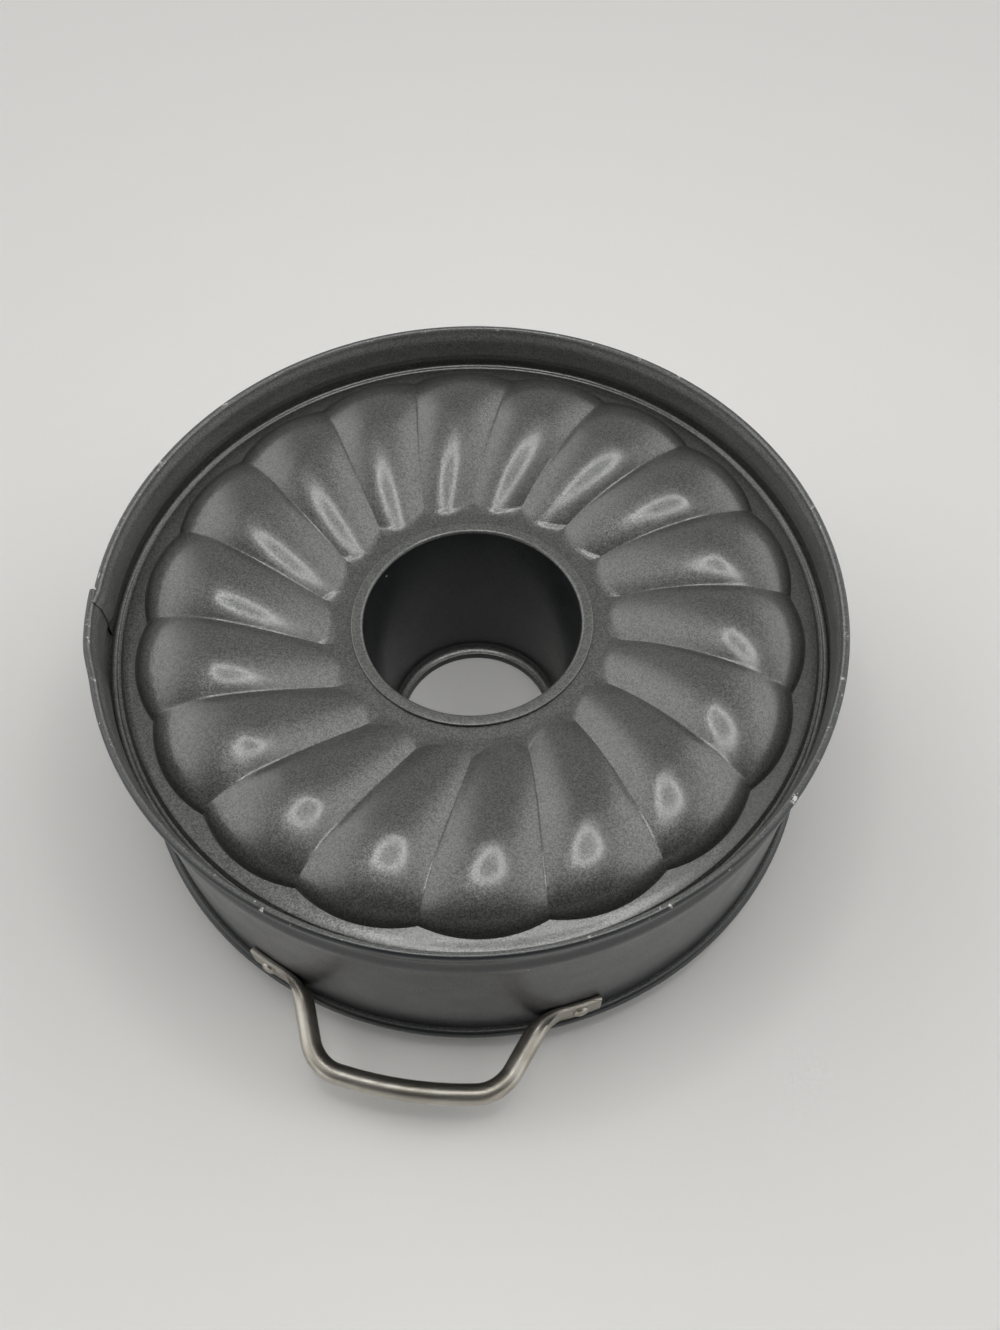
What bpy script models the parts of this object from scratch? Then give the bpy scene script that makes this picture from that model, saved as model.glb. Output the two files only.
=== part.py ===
"""Springform bundt pan: a sprung side band with a lever latch, a fluted base and a centre tube.

The pan stands upside down, the way it is shown: the underside of the fluted base looks up. The
centre tube is longer than the band is deep, so the pan stands on the tube's foot with its mouth rim
a little above the table. The origin is the middle of that foot, on the table, and +Z is up.
Azimuths are in degrees, counter-clockwise from +X. All lengths are in metres.
"""
import math

import bmesh
import bpy
from mathutils import Matrix, Vector

# Overall sizes
BAND_HEIGHT = 0.0800
RIM_LIFT = 0.0100
SHEET = 0.0007
FIT_GAP = 0.0003
WALL_RADIUS = 0.1168

# Beads of the side band, the flare under its base bead, and the groove that holds the base plate
BASE_BEAD_RADIUS = 0.00115
BASE_BEAD_OUTSET = 0.0015
FLARE_DEPTH = 0.0050
GROOVE_DEPTH = 0.0010
GROOVE_RISE = 0.0060
GROOVE_FALL = 0.0027
MOUTH_BEAD_RADIUS = 0.0018
MOUTH_BEAD_OUTSET = 0.0012
MOUTH_FLAT_ANGLE = 18.0

# Where the band is parted, and how its ends lap at the latch
LAP_AZIMUTH = 174.8
FLEX_AZIMUTH = 358.0
FLEX_HALF_GAP = 0.15
FLAP_LENGTH = 4.4
TONGUE_LENGTH = 6.0
LAP_CLEARANCE = 0.0006
LAP_END_GAP = 0.6
JOGGLE_START = 191.0
JOGGLE_END = 199.0
BAND_STEP = 7.2

# Base plate
PLATE_SHEET = 0.0008
PLATE_DEPTH = 0.0160
EDGE_CURL_RADIUS = 0.0011
EDGE_CURL_DROP = 0.0018
EDGE_SLOPE_WIDTH = 0.0012
EDGE_VALLEY_DEPTH = 0.0016
PLATEAU_DROP = 0.0047
PETALS = 18
PETAL_PHASE = 3.8
PETAL_LOBE_RADIUS = 0.1089
PETAL_CUSP_RADIUS = 0.1059
PETAL_INNER_RADIUS = 0.0453
PETAL_INNER_CUSP = 0.0500
PETAL_CREST_RISE = 0.0102
PETAL_CREASE_RISE = 0.0061
PETAL_CREST_AT = 0.39
PETAL_CREASE_AT = 0.30
PETAL_SWIRL = 9.3
PETAL_COLUMNS = 6

# Centre tube
TUBE_SHEET = 0.0007
TUBE_FLANGE_RADIUS = 0.0402
TUBE_FLANGE_WIDTH = 0.0034
TUBE_LIP_RADIUS = 0.0015
TUBE_END_RADIUS = 0.0277
TUBE_END_FILLET = 0.0030
TUBE_FOOT_DEPTH = 0.0023
CRIMP_WIDTH = 0.0020
CRIMP_HEIGHT = 0.0012
TUBE_STEPS = 36

# Handles
HANDLE_AZIMUTH = 263.1
HANDLE_RISE = 0.0088
HANDLE_ROD = 0.0063
HANDLE_REACH = 0.1380
HANDLE_BAR_HALF = 0.0286
HANDLE_FOOT_HALF = 0.0386
HANDLE_CORNER_BEND = 0.0075
HANDLE_KNEE_BEND = 0.0075
HANDLE_RIVET_ANGLE = 24.9
TAB_REACH = 0.0068
TAB_LEAD = 0.0054
TAB_THICKNESS = 0.0017
TAB_WIDTH = 0.0102
ROD_SIDES = 10

# Rivets
RIVET_SHANK = 0.0017
RIVET_HEAD = 0.0026
RIVET_HEAD_RISE = 0.0011
RIVET_INNER_HEAD = 0.0030
RIVET_INNER_RISE = 0.0007
HOLE_GAP = 0.0003
ROUND_SIDES = 10
LOOP_SIDES = 16
CUTTER_REACH = 0.0080

# Latch
LATCH_RISE = 0.0380
PIVOT_AZIMUTH = 166.5
PIVOT_REACH = 0.0075
KEEPER_AZIMUTH = 187.5
KEEPER_REACH = 0.0074
CRANK = 0.0070
CRANK_OVER_CENTRE = 5.0
LEVER_LENGTH = 0.0470
LEVER_WEB_START = 0.0125
LEVER_BACK = 0.0100
LEVER_SHEET = 0.0009
LEVER_EYE = 0.0040
LEVER_TIP_LIFT = 0.0016
CHEEK_INNER = 0.0065
EAR_INNER = 0.0050
EAR_SHEET = 0.0010
EAR_TIP = 0.0040
BRACKET_SHEET = 0.0010
BRACKET_HALF_WIDTH = 0.0066
BRACKET_HALF_HEIGHT = 0.0148
BRACKET_RIVET_OFFSET = 0.0112
LINK_HALF_HEIGHT = 0.0038
LINK_SHEET = 0.0011
LINK_EYE_RADIUS = 0.0028
LINK_LOOP_INNER = 0.0035
LINK_LOOP_RADIUS = 0.0044
PIVOT_PIN = 0.0015
LINK_PIN = 0.0013
KEEPER_PIN = 0.0014
PIN_HEAD_EXTRA = 0.0009
PIN_HEAD_RISE = 0.0008

# Colours of the finishes
COATING = (0.050, 0.052, 0.055)
STAINLESS = (0.62, 0.61, 0.58)
PLATED = (0.50, 0.50, 0.49)

HEIGHT = RIM_LIFT + BAND_HEIGHT
HANDLE_HEIGHT = RIM_LIFT + HANDLE_RISE
LATCH_HEIGHT = RIM_LIFT + LATCH_RISE
WALL_INNER = WALL_RADIUS - SHEET
LAP_STEP = SHEET + LAP_CLEARANCE
ANNULUS_HEIGHT = HEIGHT - PLATE_DEPTH
GROOVE_HEIGHT = ANNULUS_HEIGHT - EDGE_CURL_DROP
TUBE_WIDE_RADIUS = TUBE_FLANGE_RADIUS - TUBE_FLANGE_WIDTH - TUBE_SHEET


def clear_scene():
    for item in list(bpy.data.objects):
        bpy.data.objects.remove(item, do_unlink=True)


def polar(radius, azimuth, height=0.0):
    angle = math.radians(azimuth)
    return Vector((radius * math.cos(angle), radius * math.sin(angle), height))


def arc(centre, radius, start, end, steps):
    """Points of a circular arc as (radius, height) pairs, both ends included."""
    points = []
    for step in range(steps + 1):
        angle = math.radians(start + (end - start) * step / steps)
        points.append((centre[0] + radius * math.cos(angle), centre[1] + radius * math.sin(angle)))
    return points


def smooth_step(value):
    value = min(max(value, 0.0), 1.0)
    return value * value * (3.0 - 2.0 * value)


def material(name, colour, roughness, metallic):
    item = bpy.data.materials.new(name)
    item.use_nodes = True
    shader = item.node_tree.nodes["Principled BSDF"]
    shader.inputs["Base Color"].default_value = (*colour, 1.0)
    shader.inputs["Roughness"].default_value = roughness
    shader.inputs["Metallic"].default_value = metallic
    return item


def coated(name):
    return material(name + "_coating", COATING, 0.42, 0.55)


def stainless(name):
    return material(name + "_stainless", STAINLESS, 0.28, 1.0)


def plated(name):
    return material(name + "_plated", PLATED, 0.33, 1.0)


def finish(name, mesh_data, surface, origin=(0.0, 0.0, 0.0)):
    """Turn a bmesh into an object whose origin is at the given point."""
    origin = Vector(origin)
    bmesh.ops.translate(mesh_data, verts=mesh_data.verts, vec=-origin)
    bmesh.ops.recalc_face_normals(mesh_data, faces=mesh_data.faces)
    mesh = bpy.data.meshes.new(name)
    mesh_data.to_mesh(mesh)
    mesh_data.free()
    mesh.shade_smooth()
    mesh.set_sharp_from_angle(angle=math.radians(35.0))
    item = bpy.data.objects.new(name, mesh)
    bpy.context.scene.collection.objects.link(item)
    item.location = origin
    if surface is not None:
        mesh.materials.append(surface)
    return item


def boolean(target, operand, operation="DIFFERENCE"):
    modifier = target.modifiers.new(operation.title(), "BOOLEAN")
    modifier.operation = operation
    modifier.object = operand
    operand.hide_render = True
    operand.display_type = "WIRE"


def add_loft(mesh_data, rings, closed=False):
    """Skin rings of points into a tube of quads, with a flat cap at each end unless it is closed."""
    loops = [[mesh_data.verts.new(point) for point in ring] for ring in rings]
    pairs = list(zip(loops, loops[1:]))
    if closed:
        pairs.append((loops[-1], loops[0]))
    for first, second in pairs:
        count = len(first)
        for index in range(count):
            following = (index + 1) % count
            mesh_data.faces.new((first[index], first[following], second[following], second[index]))
    if not closed:
        mesh_data.faces.new(list(reversed(loops[0])))
        mesh_data.faces.new(loops[-1])
    return loops


def turned(profile, steps):
    """Full turn of a closed (radius, height) profile about +Z."""
    mesh_data = bmesh.new()
    rings = []
    for step in range(steps):
        azimuth = 360.0 * step / steps
        rings.append([polar(radius, azimuth, height) for radius, height in profile])
    add_loft(mesh_data, rings, closed=True)
    return mesh_data


def add_spindle(mesh_data, stations, axis_point, axis, sides):
    """A solid of round sections, given as (distance along the axis, radius) stations."""
    rotation = Vector((0.0, 0.0, 1.0)).rotation_difference(Vector(axis)).to_matrix()
    rings = []
    for distance, radius in stations:
        ring = []
        for side in range(sides):
            spot = polar(radius, 360.0 * side / sides, distance)
            ring.append(Vector(axis_point) + rotation @ spot)
        rings.append(ring)
    add_loft(mesh_data, rings)


def add_prism(mesh_data, outline, low, high):
    """Extrude a plan outline of (x, y) points between two heights."""
    base = [mesh_data.verts.new((x, y, low)) for x, y in outline]
    floor = mesh_data.faces.new(base)
    grown = bmesh.ops.extrude_face_region(mesh_data, geom=[floor])
    raised = [element for element in grown["geom"] if isinstance(element, bmesh.types.BMVert)]
    bmesh.ops.translate(mesh_data, verts=raised, vec=(0.0, 0.0, high - low))


# Side band
def groove_points(radius):
    """Points down a wall surface through the groove that the base plate's rolled edge sits in."""
    points = []
    for share in (0.0, 0.45, 0.85):
        height = GROOVE_HEIGHT + GROOVE_RISE * (1.0 - share)
        points.append((radius + GROOVE_DEPTH * smooth_step(share / 0.85), height))
    for share in (0.4, 1.0):
        height = GROOVE_HEIGHT - GROOVE_FALL * share
        points.append((radius + GROOVE_DEPTH * (1.0 - smooth_step((share - 0.4) / 0.6)), height))
    return points


def full_profile(step_out=0.0):
    """Closed section of the band: base bead on a flare, wall with its groove, and mouth bead."""
    bead = (WALL_RADIUS + BASE_BEAD_OUTSET, HEIGHT - BASE_BEAD_RADIUS)
    mouth = (WALL_RADIUS + MOUTH_BEAD_OUTSET,
             RIM_LIFT + MOUTH_BEAD_RADIUS * math.cos(math.radians(MOUTH_FLAT_ANGLE)))
    neck = HEIGHT - 2.0 * BASE_BEAD_RADIUS
    flare = neck - HEIGHT + FLARE_DEPTH
    points = arc(bead, BASE_BEAD_RADIUS, 180.0, -65.0, 5)
    points.append((WALL_RADIUS + 0.5 * BASE_BEAD_OUTSET, neck - 0.1 * flare))
    points.append((WALL_RADIUS + 0.1 * BASE_BEAD_OUTSET, neck - 0.55 * flare))
    points.append((WALL_RADIUS, neck - flare))
    points += groove_points(WALL_RADIUS)
    points.append((WALL_RADIUS, mouth[1] + 1.6 * MOUTH_BEAD_RADIUS))
    points += arc(mouth, MOUTH_BEAD_RADIUS, 115.0, -20.0, 3)
    points += arc(mouth, MOUTH_BEAD_RADIUS, -90.0 + MOUTH_FLAT_ANGLE, -90.0 - MOUTH_FLAT_ANGLE, 1)
    points += arc(mouth, MOUTH_BEAD_RADIUS, -145.0, -180.0, 1)
    points.append((WALL_INNER, mouth[1] + 0.5 * MOUTH_BEAD_RADIUS))
    points += reversed(groove_points(WALL_INNER))
    points.append((WALL_INNER, neck - flare))
    points.append((WALL_INNER + 0.2 * BASE_BEAD_OUTSET, neck - 0.45 * flare))
    return [(radius + step_out, height) for radius, height in points]


def flap_profile():
    """Section of the outer end where it laps the inner one: the wall alone, its beads cut away."""
    wall_outer = WALL_RADIUS + LAP_STEP
    wall_inner = wall_outer - SHEET
    middle = wall_outer - 0.5 * SHEET
    head = (middle, HEIGHT - FLARE_DEPTH)
    foot = (middle, RIM_LIFT + 2.0 * MOUTH_BEAD_RADIUS + LAP_CLEARANCE + SHEET)
    points = arc(head, 0.5 * SHEET, 180.0, 0.0, 5)
    points += [(wall_outer, head[1] - share * SHEET) for share in (1.0, 2.0, 3.0)]
    points += groove_points(wall_outer)
    points.append((wall_outer, foot[1] + SHEET))
    points += arc(foot, 0.5 * SHEET, 0.0, -180.0, 7)
    points.append((wall_inner, foot[1] + SHEET))
    points += reversed(groove_points(wall_inner))
    points += [(wall_inner, head[1] - share * SHEET) for share in (3.0, 1.5)]
    return points


def band_angles(start, end):
    count = max(1, math.ceil((end - start) / BAND_STEP - 1e-6))
    return [start + (end - start) * index / count for index in range(count + 1)]


def band_ring(profile, azimuth):
    return [polar(radius, azimuth, height) for radius, height in profile]


def hole_cutter(name, spots, radius):
    """Round cutters along the radial direction at (azimuth, height) spots of the wall."""
    mesh_data = bmesh.new()
    inner = WALL_RADIUS - CUTTER_REACH
    outer = WALL_RADIUS + CUTTER_REACH
    for azimuth, height in spots:
        axis = polar(1.0, azimuth)
        stations = [(inner, radius), (outer, radius)]
        add_spindle(mesh_data, stations, (0.0, 0.0, height), axis, ROUND_SIDES)
    return finish(name, mesh_data, None)


def handle_rivet_spots(azimuth):
    return [(azimuth - HANDLE_RIVET_ANGLE, HANDLE_HEIGHT),
            (azimuth + HANDLE_RIVET_ANGLE, HANDLE_HEIGHT)]


def bracket_rivet_spots(azimuth):
    return [(azimuth, LATCH_HEIGHT + BRACKET_RIVET_OFFSET),
            (azimuth, LATCH_HEIGHT - BRACKET_RIVET_OFFSET)]


def build_band_far():
    """Inner end of the band: from the flex line round the far side to the tongue at the latch."""
    start = FLEX_AZIMUTH - 360.0 + FLEX_HALF_GAP
    end = LAP_AZIMUTH + TONGUE_LENGTH
    mesh_data = bmesh.new()
    add_loft(mesh_data, [band_ring(full_profile(), angle) for angle in band_angles(start, end)])
    band = finish("band_far", mesh_data, coated("band_far"))
    spots = handle_rivet_spots(HANDLE_AZIMUTH - 180.0) + bracket_rivet_spots(PIVOT_AZIMUTH)
    boolean(band, hole_cutter("band_far_holes", spots, RIVET_SHANK + HOLE_GAP))
    return band


def build_band_near():
    """Outer end of the band, with its origin on the flex line that stands in for its spring."""
    flap_start = LAP_AZIMUTH - FLAP_LENGTH
    flap_end = LAP_AZIMUTH + TONGUE_LENGTH + LAP_END_GAP
    full_start = flap_end + LAP_END_GAP
    rings = [band_ring(flap_profile(), angle) for angle in band_angles(flap_start, flap_end)]
    lapped = band_angles(full_start, JOGGLE_START)
    joggle = [JOGGLE_START + (JOGGLE_END - JOGGLE_START) * index / 4 for index in range(1, 5)]
    rest = band_angles(JOGGLE_END, FLEX_AZIMUTH - FLEX_HALF_GAP)[1:]
    for angle in lapped + joggle + rest:
        share = smooth_step((JOGGLE_END - angle) / (JOGGLE_END - JOGGLE_START))
        rings.append(band_ring(full_profile(LAP_STEP * share), angle))
    mesh_data = bmesh.new()
    add_loft(mesh_data, rings)
    band = finish("band_near", mesh_data, coated("band_near"), polar(flex_radius(), FLEX_AZIMUTH))
    spots = handle_rivet_spots(HANDLE_AZIMUTH) + bracket_rivet_spots(KEEPER_AZIMUTH)
    boolean(band, hole_cutter("band_near_holes", spots, RIVET_SHANK + HOLE_GAP))
    return band


def flex_radius():
    return WALL_RADIUS - 0.5 * SHEET


# Fluted base
def petal_swirl(radius):
    share = (PETAL_CUSP_RADIUS - radius) / (PETAL_CUSP_RADIUS - PETAL_INNER_RADIUS)
    return PETAL_SWIRL * min(max(share, 0.0), 1.0) ** 1.6


def petal_height(along, across):
    """Height of a petal: along runs from its outer foot to its inner end, across is -1 to 1."""
    heights = []
    for rise, peak_at, power in ((PETAL_CREASE_RISE, PETAL_CREASE_AT, 1.7),
                                 (PETAL_CREST_RISE, PETAL_CREST_AT, 1.38)):
        if along < peak_at:
            heights.append(rise * math.sqrt(1.0 - (1.0 - along / peak_at) ** 2))
        else:
            fall = ((along - peak_at) / (1.0 - peak_at)) ** power
            heights.append(rise - (rise + PLATEAU_DROP) * fall)
    crease, crest = heights
    return ANNULUS_HEIGHT + crease + (crest - crease) * (1.0 - across * across)


def edge_profiles():
    """Upper and lower surfaces of the plate's edge, from its curl in to the flat annulus."""
    groove = WALL_INNER + GROOVE_DEPTH
    curl = (groove - FIT_GAP - EDGE_CURL_RADIUS, GROOVE_HEIGHT)
    valley = (curl[0] - 1.8 * EDGE_CURL_RADIUS, ANNULUS_HEIGHT - EDGE_VALLEY_DEPTH)
    upper = arc(curl, EDGE_CURL_RADIUS, 0.0, 145.0, 3)
    upper.append(valley)
    upper.append((valley[0] - EDGE_SLOPE_WIDTH, ANNULUS_HEIGHT))
    lower = arc(curl, EDGE_CURL_RADIUS, -50.0, -145.0, 2)
    lower.append((valley[0], valley[1] - PLATE_SHEET))
    lower.append((valley[0] - EDGE_SLOPE_WIDTH, ANNULUS_HEIGHT - PLATE_SHEET))
    return upper, lower


def build_base():
    plateau = ANNULUS_HEIGHT - PLATEAU_DROP
    edge_up, edge_down = edge_profiles()
    rows_up = [0.0, 0.03, 0.09, 0.18, 0.30, 0.45, 0.62, 0.81, 1.0]
    rows_down = [0.0, 0.08, 0.22, 0.42, 0.69, 1.0]
    hole = TUBE_WIDE_RADIUS + TUBE_SHEET + 2.0 * FIT_GAP
    columns = []
    for column in range(PETALS * PETAL_COLUMNS):
        petal, place = divmod(column, PETAL_COLUMNS)
        across = 2.0 * place / PETAL_COLUMNS - 1.0
        azimuth = PETAL_PHASE + 360.0 / PETALS * (petal + 0.5 * (across + 1.0))
        bulge = 1.0 - across * across
        outer = PETAL_CUSP_RADIUS + (PETAL_LOBE_RADIUS - PETAL_CUSP_RADIUS) * bulge
        inner = PETAL_INNER_CUSP + (PETAL_INNER_RADIUS - PETAL_INNER_CUSP) * bulge
        section = []
        for edge, rows, drop in ((edge_up, rows_up, 0.0), (edge_down, rows_down, PLATE_SHEET)):
            side = [polar(radius, azimuth, height) for radius, height in edge]
            for along in rows:
                radius = outer + (inner - outer) * along
                height = petal_height(along, across) - drop
                side.append(polar(radius, azimuth + petal_swirl(radius), height))
            side.append(polar(hole, azimuth + PETAL_SWIRL, plateau - drop))
            section.append(side)
        columns.append(section[0] + list(reversed(section[1])))
    mesh_data = bmesh.new()
    add_loft(mesh_data, columns, closed=True)
    return finish("fluted_base", mesh_data, coated("fluted_base"))


# Centre tube
def build_tube():
    plateau = ANNULUS_HEIGHT - PLATEAU_DROP
    seat = plateau + FIT_GAP
    top = seat + TUBE_SHEET
    crimp = plateau - PLATE_SHEET - FIT_GAP
    neck = TUBE_WIDE_RADIUS + TUBE_SHEET
    foot = TUBE_END_RADIUS + TUBE_SHEET
    shoulder = (foot, TUBE_FOOT_DEPTH + TUBE_SHEET + TUBE_END_FILLET)
    profile = [(TUBE_FLANGE_RADIUS, seat), (TUBE_FLANGE_RADIUS, top - 0.3 * TUBE_SHEET),
               (TUBE_FLANGE_RADIUS - 0.3 * TUBE_SHEET, top)]
    profile += arc((TUBE_WIDE_RADIUS + TUBE_LIP_RADIUS, top - TUBE_LIP_RADIUS), TUBE_LIP_RADIUS,
                   90.0, 180.0, 3)
    profile += arc(shoulder, TUBE_END_FILLET, 0.0, -80.0, 3)
    profile += [(TUBE_END_RADIUS, TUBE_FOOT_DEPTH), (TUBE_END_RADIUS, 0.0), (foot, 0.0)]
    profile += arc(shoulder, TUBE_END_FILLET + TUBE_SHEET, -80.0, 0.0, 3)
    profile += [(neck - 0.1 * TUBE_SHEET, crimp - CRIMP_HEIGHT - TUBE_SHEET),
                (neck + CRIMP_WIDTH - 0.4 * CRIMP_HEIGHT, crimp - CRIMP_HEIGHT),
                (neck + CRIMP_WIDTH, crimp - 0.5 * CRIMP_HEIGHT),
                (neck + CRIMP_WIDTH - 0.4 * CRIMP_HEIGHT, crimp), (neck, crimp),
                (neck, seat - 0.3 * TUBE_SHEET), (neck + 0.3 * TUBE_SHEET, seat)]
    return finish("centre_tube", turned(profile, TUBE_STEPS), coated("centre_tube"))


# Handles
def handle_path():
    """Centre line of one half of the handle, from the rivet tab to the middle of the bar.

    Each station is (across, outward, half thickness, half height) in the handle's own plan, where
    across runs along the band and outward away from the pan's axis.
    """
    tab_radius = WALL_RADIUS + FIT_GAP + 0.5 * TAB_THICKNESS
    rod = 0.5 * HANDLE_ROD
    flat = (0.5 * TAB_THICKNESS, 0.5 * TAB_WIDTH)
    tab_end = HANDLE_RIVET_ANGLE + math.degrees(TAB_REACH / tab_radius)
    tab_start = HANDLE_RIVET_ANGLE - math.degrees(TAB_LEAD / tab_radius)
    stations = []
    for step in range(4):
        spot = on_circle(tab_radius, tab_end + (tab_start - tab_end) * step / 3)
        stations.append((spot.x, spot.y, *flat))
    foot = on_circle(tab_radius, math.degrees(math.asin(HANDLE_FOOT_HALF / tab_radius)))
    corner_angle = math.degrees(math.asin(HANDLE_BAR_HALF / HANDLE_REACH))
    corner = on_circle(HANDLE_REACH, corner_angle)
    arm = (corner - foot).normalized()
    knee_end = foot + arm * HANDLE_KNEE_BEND
    last = Vector(stations[-1][:2])
    for step in range(1, 7):
        share = step / 7
        spot = curve_between(last, along_circle(tab_start), knee_end, arm, share)
        grow = smooth_step((share - 0.05) / 0.85)
        stations.append((spot.x, spot.y, flat[0] + (rod - flat[0]) * grow,
                         flat[1] + (rod - flat[1]) * grow))
    stations.append((*knee_end, rod, rod))
    bar_angle = corner_angle - math.degrees(HANDLE_CORNER_BEND / HANDLE_REACH)
    bar_end = on_circle(HANDLE_REACH, bar_angle)
    corner_start = corner - arm * HANDLE_CORNER_BEND
    for step in range(6):
        spot = curve_between(corner_start, arm, bar_end, along_circle(bar_angle), step / 5)
        stations.append((spot.x, spot.y, rod, rod))
    for share in (0.6, 0.2):
        spot = on_circle(HANDLE_REACH, bar_angle * share)
        stations.append((spot.x, spot.y, rod, rod))
    return stations


def on_circle(radius, angle):
    return Vector((radius * math.sin(math.radians(angle)), radius * math.cos(math.radians(angle))))


def along_circle(angle):
    """Direction along a circle about the pan's axis, towards the middle of the handle."""
    return Vector((-math.cos(math.radians(angle)), math.sin(math.radians(angle))))


def curve_between(start, start_way, end, end_way, share):
    """Point on a smooth bend that leaves and arrives in the given directions."""
    reach = 1.05 * (end - start).length
    squared = share * share
    cubed = squared * share
    return ((2.0 * cubed - 3.0 * squared + 1.0) * start
            + (cubed - 2.0 * squared + share) * reach * start_way
            + (3.0 * squared - 2.0 * cubed) * end + (cubed - squared) * reach * end_way)


def build_handle(name, azimuth):
    half = handle_path()
    stations = half + [(-across, outward, thick, tall)
                       for across, outward, thick, tall in reversed(half)]
    centres = [Vector((across, outward)) for across, outward, thick, tall in stations]
    radial = polar(1.0, azimuth)
    tangent = polar(1.0, azimuth - 90.0)
    rings = []
    for index, (across, outward, thick, tall) in enumerate(stations):
        before = centres[max(index - 1, 0)]
        after = centres[min(index + 1, len(centres) - 1)]
        along = (after - before).normalized()
        normal = Vector((along.y, -along.x))
        flatness = smooth_step((tall - thick) / (0.5 * TAB_WIDTH - 0.5 * TAB_THICKNESS))
        ring = []
        for side in range(ROD_SIDES):
            angle = 2.0 * math.pi * (side + 0.5) / ROD_SIDES
            round_spot = (math.cos(angle), math.sin(angle))
            square = 1.0 / max(abs(round_spot[0]), abs(round_spot[1]))
            spread = 1.0 + (square - 1.0) * flatness
            offset = normal * thick * round_spot[0] * spread
            rise = tall * round_spot[1] * spread
            spot = centres[index] + offset
            point = tangent * spot.x + radial * spot.y
            ring.append(Vector((point.x, point.y, HANDLE_HEIGHT + rise)))
        rings.append(ring)
    mesh_data = bmesh.new()
    add_loft(mesh_data, rings)
    handle = finish(name, mesh_data, stainless(name))
    cutter = hole_cutter(name + "_holes", handle_rivet_spots(azimuth), RIVET_SHANK + HOLE_GAP)
    boolean(handle, cutter)
    return handle


def build_rivet(name, azimuth, height, stack_outer, step_out=0.0):
    """A rivet on the radial direction: flat head inside the wall, domed head outside."""
    inside = (WALL_INNER + step_out) * math.cos(math.radians(0.5 * BAND_STEP)) - FIT_GAP
    outside = stack_outer + FIT_GAP
    stations = [(inside - RIVET_INNER_RISE, 0.85 * RIVET_INNER_HEAD), (inside, RIVET_INNER_HEAD),
                (inside, RIVET_SHANK), (outside, RIVET_SHANK), (outside, RIVET_HEAD),
                (outside + 0.55 * RIVET_HEAD_RISE, 0.88 * RIVET_HEAD),
                (outside + RIVET_HEAD_RISE, 0.45 * RIVET_HEAD)]
    mesh_data = bmesh.new()
    add_spindle(mesh_data, stations, (0.0, 0.0, height), polar(1.0, azimuth), ROUND_SIDES)
    return finish(name, mesh_data, stainless(name))


# Latch
def pivot_point():
    return polar(WALL_RADIUS + PIVOT_REACH, PIVOT_AZIMUTH)


def keeper_point():
    return polar(WALL_RADIUS + LAP_STEP + KEEPER_REACH, KEEPER_AZIMUTH)


def link_pin_point():
    """Crank pin of the lever, just past the line from the keeper through the pivot."""
    away = (pivot_point() - keeper_point()).normalized()
    turned_back = Matrix.Rotation(math.radians(-CRANK_OVER_CENTRE), 3, "Z") @ away
    return pivot_point() + turned_back * CRANK


def bracket_ears(name, frame, reach, root_half):
    """Two ears of a bracket, as plan outlines raised between their heights."""
    mesh_data = bmesh.new()
    outward, along, face = frame
    outline = []
    for across, out in ((-root_half, face - 0.5 * BRACKET_SHEET), (-root_half, face + 0.8 * BRACKET_SHEET)):
        outline.append(outward * out + along * across)
    tip = outward * reach
    for step in range(7):
        angle = math.radians(180.0 - 180.0 * step / 6)
        outline.append(tip + along * EAR_TIP * math.cos(angle) + outward * EAR_TIP * math.sin(angle))
    for across, out in ((root_half, face + 0.8 * BRACKET_SHEET), (root_half, face - 0.5 * BRACKET_SHEET)):
        outline.append(outward * out + along * across)
    plan = [(point.x, point.y) for point in outline]
    add_prism(mesh_data, plan, LATCH_HEIGHT + EAR_INNER, LATCH_HEIGHT + EAR_INNER + EAR_SHEET)
    add_prism(mesh_data, plan, LATCH_HEIGHT - EAR_INNER - EAR_SHEET, LATCH_HEIGHT - EAR_INNER)
    return finish(name + "_ears", mesh_data, None)


def build_bracket(name, azimuth, seat_radius, pin_point, pin_radius):
    """Sheet bracket: a base plate riveted to the band and two ears that carry a pin."""
    outward = polar(1.0, azimuth)
    along = polar(1.0, azimuth + 90.0)
    inner = seat_radius + FIT_GAP
    face = inner + BRACKET_SHEET
    corners = []
    for across, out in ((-BRACKET_HALF_WIDTH, inner), (BRACKET_HALF_WIDTH, inner),
                        (BRACKET_HALF_WIDTH, face), (-BRACKET_HALF_WIDTH, face)):
        point = outward * out + along * across
        corners.append((point.x, point.y))
    mesh_data = bmesh.new()
    add_prism(mesh_data, corners, LATCH_HEIGHT - BRACKET_HALF_HEIGHT, LATCH_HEIGHT + BRACKET_HALF_HEIGHT)
    bracket = finish(name, mesh_data, plated(name))
    ears = bracket_ears(name, (outward, along, face), pin_point.length, BRACKET_HALF_WIDTH - EAR_SHEET)
    boolean(bracket, ears, "UNION")
    cutter = bmesh.new()
    reach = EAR_INNER + EAR_SHEET + CUTTER_REACH
    stations = [(-reach, pin_radius + HOLE_GAP), (reach, pin_radius + HOLE_GAP)]
    pin_spot = (pin_point.x, pin_point.y, LATCH_HEIGHT)
    add_spindle(cutter, stations, pin_spot, (0.0, 0.0, 1.0), ROUND_SIDES)
    boolean(bracket, finish(name + "_pin_holes", cutter, None))
    holes = hole_cutter(name + "_rivet_holes", bracket_rivet_spots(azimuth), RIVET_SHANK + HOLE_GAP)
    boolean(bracket, holes)
    return bracket


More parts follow.
